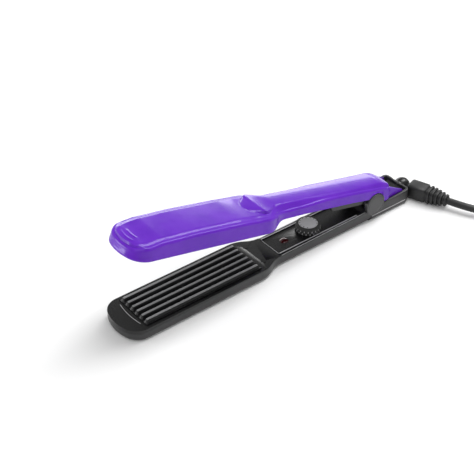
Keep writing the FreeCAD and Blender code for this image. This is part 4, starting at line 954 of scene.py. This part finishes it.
@dataclass(frozen=True)
class HeatDial:
    """Heat dial: knurled black wheel, raised ticks round its top and a turned pale disc."""
    place: float = 39.0
    bottom: float = 9.4
    height: float = 7.4
    radius: float = 10.9
    notches: int = 40
    inlay: float = 8.5
    tick_start: float = 6.9

    def wheel(self) -> Skin:
        """Wheel with a scalloped side: the radius dips 0.5 mm in each notch, as |cos| to a high power."""
        top = self.height
        corners = [(3.0, 0.0), (self.radius - 0.6, 0.0), (self.radius, 0.7), (self.radius, top - 1.3),
                   (self.radius - 0.9, top), (self.inlay, top), (self.inlay, top - 0.75), (3.0, top - 0.75)]
        profile = rounded_profile(corners, [0.5, 0.3, 0.5, 0.5, 0.15, 0.1])
        steps = self.notches * 10
        rings = turned(profile, steps)
        angles = np.linspace(0.0, 2.0 * np.pi, steps, endpoint=False)
        dip = np.abs(np.cos(angles * self.notches / 2)) ** 5
        outer = smooth((profile[:, 0] - self.inlay - 0.8) / 0.9)[:, None]
        rings[..., :2] *= (1.0 - 0.05 * outer * dip[None, :])[..., None]
        closed = np.concatenate([rings, rings[:1]])
        closed[..., 0] += self.place
        closed[..., 2] += self.bottom
        return loft(closed)

    def disc(self) -> Skin:
        """Pale disc: a flat rim, a fine groove and a very shallow dish."""
        top = self.bottom + self.height
        corners = [(0.0, -0.8), (8.4, -0.8), (8.4, 0.05), (6.2, 0.08), (5.9, -0.12), (5.6, 0.05), (3.0, 0.02),
                   (0.0, -0.02)]
        rings = turned(rounded_profile(corners, [0.1, 0.2, 0.15, 0.12, 0.15, 1.0]), 120)
        return loft(rings + np.array([self.place, 0.0, top]))

    def ticks(self) -> list[Skin]:
        """Eleven short raised ticks on the disc's rim, spread over three quarters of a turn."""
        skins = []
        middle = np.array([self.place, 0.0, self.bottom + self.height + 0.05])
        rings = superloft([(0.0, 0.0, 0.0, 4.0), (0.0, 0.25, 0.06, 4.0), (0.08, 0.32, 0.1, 4.0),
                           (1.25, 0.32, 0.1, 4.0), (1.35, 0.25, 0.06, 4.0), (1.35, 0.0, 0.0, 4.0)], 12)
        for angle in np.radians(np.linspace(-45.0, 225.0, 11)):
            away = np.array([math.cos(angle), math.sin(angle), 0.0])
            skins.append(loft(placed(rings, middle + away * self.tick_start, away)))
        return skins

    def glints(self) -> list[Skin]:
        """Painted highlights on the knurl's crests: short pale facets, by turns in its lower and its upper
        half.
        """
        skins = []
        middle = np.array([self.place, 0.0, self.bottom])
        for number in range(self.notches):
            angle = (number + 0.5) * 2.0 * math.pi / self.notches
            away = np.array([math.cos(angle), math.sin(angle), 0.0])
            beside = np.array([-away[1], away[0], 0.0]) * 0.22
            outer, inner = middle + away * (self.radius + 0.04), middle + away * (self.radius - 0.3)
            ring = np.stack([inner - beside, inner + beside, outer + beside, outer - beside])
            point = ring * 0.0 + ring.mean(0)
            low = UP * (1.2 + 2.3 * (number % 2))
            high = low + UP * 1.6
            skins.append(loft(np.stack([point + low, ring + low, ring + high, point + high])))
        return skins

    def build(self, shop: Workshop) -> None:
        """Make the wheel, its disc, the ticks and the glints."""
        shop.piece("dial_wheel", [self.wheel()], "heat_dial", DIAL_BLACK, "dial_black", ("heat_dial",))
        shop.piece("dial_disc", [self.disc()], "heat_dial", DIAL_SILVER, "dial_face", ("dial_inlay",))
        shop.piece("dial_ticks", self.ticks(), "heat_dial", DIAL_BLACK, "dial_black")
        shop.piece("dial_glints", self.glints(), "heat_dial", HIGHLIGHT_GREY, "dial_black")


@dataclass(frozen=True)
class LowerArm:
    """Everything fixed to the lower arm."""
    shell: LowerShell = LowerShell()
    plate: CrimpPlate = CrimpPlate()
    cap: HingeCap = HingeCap()
    lamp_place: float = 11.8
    lamp_radius: float = 3.85
    lamp_top: float = 10.2
    lamp_dome: float = 1.7
    rail_start: float = -3.8
    rail_end: float = 85.4
    rail_aside: float = 12.35
    rail_top: float = 11.1
    seam: float = -3.6
    seam_half: float = 11.6
    arc_half: float = 14.5
    head_top: float = 11.5
    rim_aside: float = 14.9
    bulge_end: float = 143.0

    def build(self, shop: Workshop) -> None:
        """Make the tray, covers, plate, caps and lamp."""
        shop.piece("lower_tray", [self.shell.skin(), self.shell.lug(1), self.shell.lug(-1)], "root",
                   BLACK_SATIN, "black_shell", ("lower_shell",))
        shop.piece("lower_ribbed_plate", [self.plate.skin()], "root", PLATE_RIDGE_HIGHLIGHT, "plate",
                   ("lower_crimp_plate",))
        for end, side in (("near", -1), ("far", 1)):
            shop.piece("cap_" + end, [self.cap.skin(side)], "root", CAP_GREY, "dark_cap",
                       ("hinge_cap_" + end,))
        for node in ("lower_head_cover", "grip_cover"):
            shop.softened(node, 0.3, "root", BLACK_GLOSS)
        shop.softened("rear_lower_cover", 0.25, "root", BLACK_SATIN)
        shop.softened("swivel_housing", 0.2, "root", BLACK_GLOSS)
        self.lines(shop)
        self.lamp(shop)

    def lines(self, shop: Workshop) -> None:
        """Painted highlights on the black mouldings: pale strips along the rails, rims, rear seams, covers'
        seam and the plate's arc.
        """
        rail = np.linspace(self.rail_start, self.rail_end, 40)
        edge = np.linspace(-3.0, 93.0, 60)
        seam = self.shell.bulge_seam
        below = np.linspace(self.shell.bulge_start + seam, self.bulge_end, 30)
        wall = self.shell.plan.grip_half - 0.1
        skins = []
        for side in (1, -1):
            skins += [strip(rail, side * self.rail_aside, self.rail_top, 0.5, 0.08),
                      strip(edge, side * self.rim_aside, self.shell.rim(edge), 0.22, 0.06),
                      strip(below, side * wall, seam + 0.2, 0.35, 0.15)]
        across = np.linspace(-1.0, 1.0, 40)
        skins.append(strip(self.seam, self.seam_half * across, self.rail_top - 0.9, 0.28, 0.1))
        arc_x = self.plate.start - 2.4 - 1.5 * (1.0 - across ** 2)
        skins.append(strip(arc_x, self.arc_half * across, self.head_top, 0.25, 0.08))
        shop.piece("painted_highlight_lines", skins, "root", HIGHLIGHT_GREY, "black_cover")

    def lamp(self, shop: Workshop) -> None:
        """Domed lamp lens: a shallow spherical cap over a short skirt."""
        rise, radius = self.lamp_dome, self.lamp_radius
        sphere = (radius ** 2 + rise ** 2) / (2 * rise)
        share = np.linspace(0.0, 1.0, 14)
        angle = math.asin(radius / sphere) * (1.0 - share)
        dome = np.stack([sphere * np.sin(angle), rise - sphere + sphere * np.cos(angle)], 1)
        profile = np.concatenate([[[0.0, -1.4], [radius, -1.4]], dome])
        rings = turned(profile, 72) + np.array([self.lamp_place, 0.0, self.lamp_top])
        shop.piece("lamp_lens", [loft(rings)], "root", LAMP_RED, "lens", ("indicator_lens",))


# ---------------------------------------------------------------- swivel, boot, lead and plug
@dataclass(frozen=True)
class MainsLead:
    """Strain relief boot, the lead in one smooth line with its stored coil, and the plug."""
    ball: tuple[float, float, float] = (153.9, 0.0, 7.6)
    heading: float = -71.4
    boot_start: float = 8.2
    boot_length: float = 38.0
    boot_half: float = 7.5
    boot_deep: float = 7.1
    boot_neck: float = 4.85
    boot_ribs: int = 5
    rib_pitch: float = 3.9
    plug_length: float = 57.0
    pin_aside: float = 9.3
    radius: float = 3.3
    coil_ahead: float = 100.7
    coil_aside: float = -7.2
    coil_radius: float = 35.0
    coil_points: int = 141
    exit_gap: float = 0.15
    steps: int = 24
    slip_start: float = 0.18
    slip_step: float = 0.125
    slip_length: float = 0.13

    # points of the lead from the boot's end: X, Y and the height above the floor
    LEAD_POINTS = [(0.0, 0.0, 7.6), (5.614, -16.681, 7.6), (16.4, -31.6, 5.8), (34.2, -41.4, 4.3),
                   (59.5, -45.1, 3.8), (84.0, -45.5, 4.0)]
    # and of its tail from the coil's centre
    TAIL_POINTS = [(-31.9, -26.7, 10.5), (-20.9, -39.3, 11.2), (-2.5, -48.4, 11.0), (18.0, -47.6, 9.6),
                   (35.8, -37.2, 8.0), (47.6, -20.6, 7.2), (52.0, -2.6, 7.2)]
    # where each turn lies in the coil: outwards from the middle of the bundle, and its height
    TURN_PLACES = [(3.3, 3.9), (-3.3, 3.9), (-6.6, 10.5), (0.0, 10.5), (-3.3, 16.2), (3.3, 16.2), (6.6, 10.5)]

    @property
    def outward(self) -> Array:
        """Direction in which the boot points."""
        angle = math.radians(self.heading)
        return np.array([math.cos(angle), math.sin(angle), 0.0])

    @property
    def boot_tip(self) -> Array:
        """Where the lead leaves its boot."""
        return np.array(self.ball) + self.outward * (self.boot_start + self.boot_length)

    @property
    def coil_centre(self) -> Array:
        """Centre of the stored coil, on the floor."""
        return self.boot_tip * [1.0, 1.0, 0.0] + [self.coil_ahead, self.coil_aside, 0.0]

    def route(self) -> Array:
        """All control points of the lead in millimetres: the loose run, the coil's turns and the tail.

        In the coil the angle grows by a full turn over 24 points.  Each turn keeps its own place in the
        bundle and slips to the next one over an eighth of a turn, the last turn's slip coming first.
        """
        start = self.boot_tip * [1.0, 1.0, 0.0]
        loose = [start + point for point in np.array(self.LEAD_POINTS)]
        loose[0] = loose[0] + self.outward * self.exit_gap
        travel = np.arange(self.coil_points) / self.steps
        number = travel.astype(int)
        places = np.array(self.TURN_PLACES)
        last = len(places) - 2
        slip_start = self.slip_start + self.slip_step * (last - number)
        slip = smooth((travel - number - slip_start) / self.slip_length)
        spot = places[number] * (1.0 - slip[:, None]) + places[number + 1] * slip[:, None]
        angle = travel * 2 * math.pi - math.pi / 2
        reach = self.coil_radius + spot[:, 0]
        coil = np.stack([reach * np.cos(angle), reach * np.sin(angle), spot[:, 1]], 1) + self.coil_centre
        tail = [self.coil_centre + point for point in np.array(self.TAIL_POINTS)]
        return np.concatenate([loose, coil, tail])

    def lead(self, shop: Workshop) -> bpy.types.Object:
        """The lead as one NURBS curve with a round section."""
        route = self.route() * MM
        curve = bpy.data.curves.new("mains_lead", "CURVE")
        curve.dimensions = "3D"
        line = curve.splines.new("NURBS")
        line.points.add(len(route) - 1)
        line.points.foreach_set("co", np.concatenate([route, np.ones((len(route), 1))], 1).ravel())
        line.order_u = 3
        line.use_endpoint_u = True
        line.resolution_u = 6
        curve.bevel_depth = self.radius * MM
        curve.bevel_resolution = 6
        curve.use_fill_caps = True
        return shop.dress(added("mains_lead", curve), "root", LEAD_PVC,
                          ("lead_tube", "lead_coil", "lead_tail"))

    def boot(self, shop: Workshop) -> bpy.types.Object:
        """Boxy boot with a ribbed end: rounded-rectangle sections that shrink towards the lead."""
        full, deep, end = self.boot_half, self.boot_deep, self.boot_length
        rows = [(0.0, 0.0, 0.0, 5.0), (0.0, 6.2, 5.8, 5.0), (0.5, 7.1, 6.7, 5.0), (1.4, full, deep, 5.0),
                (8.0, full, deep, 5.0), (16.2, full, deep, 5.0), (17.2, full - 0.5, deep - 0.5, 4.6)]
        for number in range(self.boot_ribs):
            share = (number + 0.5) / self.boot_ribs
            begin = 18.0 + number * self.rib_pitch
            big = full + (self.boot_neck - full) * share ** 1.8
            high = deep + (self.boot_neck - deep) * share ** 1.8
            for offset, inset in ((0.0, 1.15), (1.2, 1.15), (1.55, 0.25), (1.95, 0.0), (3.2, 0.0),
                                  (3.6, 0.25)):
                rows.append((begin + offset, big - inset, high - inset, 4.6 - 2.2 * share))
        rows += [(end - 0.5, 4.4, 4.4, 2.2), (end, 4.0, 4.0, 2.0), (end, 0.0, 0.0, 2.0)]
        origin = np.array(self.ball) + self.outward * self.boot_start
        return shop.piece("strain_relief_boot", [loft(placed(superloft(rows, 96), origin, self.outward))],
                          "lead_swivel", BOOT_RUBBER, "boot", ("cord_boot",))

    def plug_heading(self) -> tuple[Array, Array]:
        """The end of the tail, and the level direction in which the plug points."""
        tail = np.array(self.TAIL_POINTS)
        way = tail[-1] - tail[-2]
        way[2] = 0.0
        return self.coil_centre + tail[-1], way / np.linalg.norm(way)

    def plug(self, shop: Workshop) -> bpy.types.Object:
        """Flat two-pin plug: ribbed relief, a waist and a body that widens to its square face."""
        rows = [(0.0, 0.0, 0.0, 2.0), (0.0, 3.9, 3.9, 2.0), (0.4, 4.2, 4.2, 2.0)]
        for number in range(5):
            begin, share = 1.6 + number * 4.0, number / 5
            size = 4.3 + 1.5 * share
            for offset, inset in ((0.0, 0.0), (1.8, 0.0), (2.1, 0.25), (2.4, 0.8), (3.2, 0.8), (3.6, 0.1)):
                rows.append((begin + offset, size - inset, size - inset, 2.0 + share))
        body = np.linspace(22.6, 55.4, 30)
        swell = smooth((body - 22.6) / 21.0)
        deep = 5.6 + 1.2 * smooth((body - 22.6) / 8.0) - 0.9 * np.exp(-((body - 40.0) / 7.0) ** 2)
        rows += list(zip(body, 5.6 + 11.6 * swell, deep, 3.0 + 3.0 * swell))
        end = self.plug_length
        rows += [(end - 0.6, 16.9, 6.5, 6.0), (end, 16.0, 5.8, 6.0), (end, 0.0, 0.0, 6.0)]
        origin, way = self.plug_heading()
        return shop.piece("mains_plug", [loft(placed(superloft(rows, 120), origin, way))], "root", PLUG_PVC,
                          "plug", ("plug_body",))

    def pins(self, shop: Workshop) -> bpy.types.Object:
        """Two round pins with domed tips."""
        origin, way = self.plug_heading()
        side = np.array([-way[1], way[0], 0.0])
        shape = ((0.0, 0.0), (0.0, 2.0), (16.6, 2.0), (17.5, 1.75), (18.3, 1.3), (18.8, 0.7), (19.0, 0.0))
        rings = superloft([(place, radius, radius, 2.0) for place, radius in shape], 48)
        skins = [loft(placed(rings, origin + way * self.plug_length + side * offset, way))
                 for offset in (self.pin_aside, -self.pin_aside)]
        return shop.piece("plug_pin_pair", skins, "root", NICKEL, "plug_pin", ("plug_pins",))

    def build(self, shop: Workshop) -> None:
        self.boot(shop)
        lead = self.lead(shop)
        plug, pins = self.plug(shop), self.pins(shop)
        tuple(self.boot_tip * MM)


# ---------------------------------------------------------------- studio
@dataclass(frozen=True)
class Studio:
    """Pale floor, soft lights and the camera."""
    eye: Point = (-0.4909, -0.5747, 0.5903)
    look: Point = (0.4927, 0.6273, -0.6031)
    lens: float = 84.7
    sensor: float = 36.0

    def floor(self) -> None:
        """A wide pale floor under the object."""
        mesh = bpy.data.meshes.new("studio_floor")
        mesh.from_pydata([(-6, -6, 0), (6, -6, 0), (6, 6, 0), (-6, 6, 0)], [], [(0, 1, 2, 3)])
        paper = Finish("studio_paper", (250, 250, 250), (247, 247, 247), 0.7, 0.8, Relief.SATIN,
                       grain=3.0, depth=0.001, patch=400.0)
        mesh.materials.append(paper.material())
        added("studio_floor", mesh)

    def light(self, name: str, place: Point, size: tuple[float, float], power: float) -> None:
        """A rectangular soft light aimed at the object's middle."""
        lamp = bpy.data.lights.new(name, "AREA")
        lamp.shape = "RECTANGLE"
        lamp.size, lamp.size_y = size
        lamp.energy = power
        aimed(added(name, lamp), place, -Vector(place))

    def build(self) -> None:
        """Make the floor, lights, surroundings and camera."""
        self.floor()
        self.light("overhead_soft", (0.75, 0.06, 1.38), (0.6, 1.4), 20.0)
        self.light("front_soft", (-0.9, -0.7, 1.3), (1.6, 1.6), 7.0)
        self.light("far_strip", (0.8, 1.5, 0.3), (2.0, 0.3), 9.0)
        self.light("tip_strip", (-1.3, 0.9, 0.2), (0.9, 0.35), 8.0)
        world = bpy.data.worlds.new("studio_air")
        world.use_nodes = True
        air = world.node_tree.nodes["Background"]
        air.inputs["Color"].default_value = (1.0, 1.0, 1.0, 1.0)
        air.inputs["Strength"].default_value = 0.42
        scene = bpy.context.scene
        scene.view_settings.view_transform = "Standard"
        scene.world = world
        camera = bpy.data.cameras.new("camera")
        camera.lens = self.lens
        camera.sensor_width = self.sensor
        scene.camera = added("camera", camera)
        aimed(scene.camera, self.eye, self.look)


def main() -> None:
    """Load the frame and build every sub-assembly around it."""
    logging.basicConfig(level=logging.INFO, format="%(name)s: %(message)s")
    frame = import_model()
    shop = Workshop(frame)
    shop.finish_frame()
    MainsLead().build(shop)
    LowerArm().build(shop)
    HeatDial().build(shop)
    UpperArm().build(shop)
    Studio().build()
    bpy.context.view_layer.update()


if __name__ == "__main__":
    main()
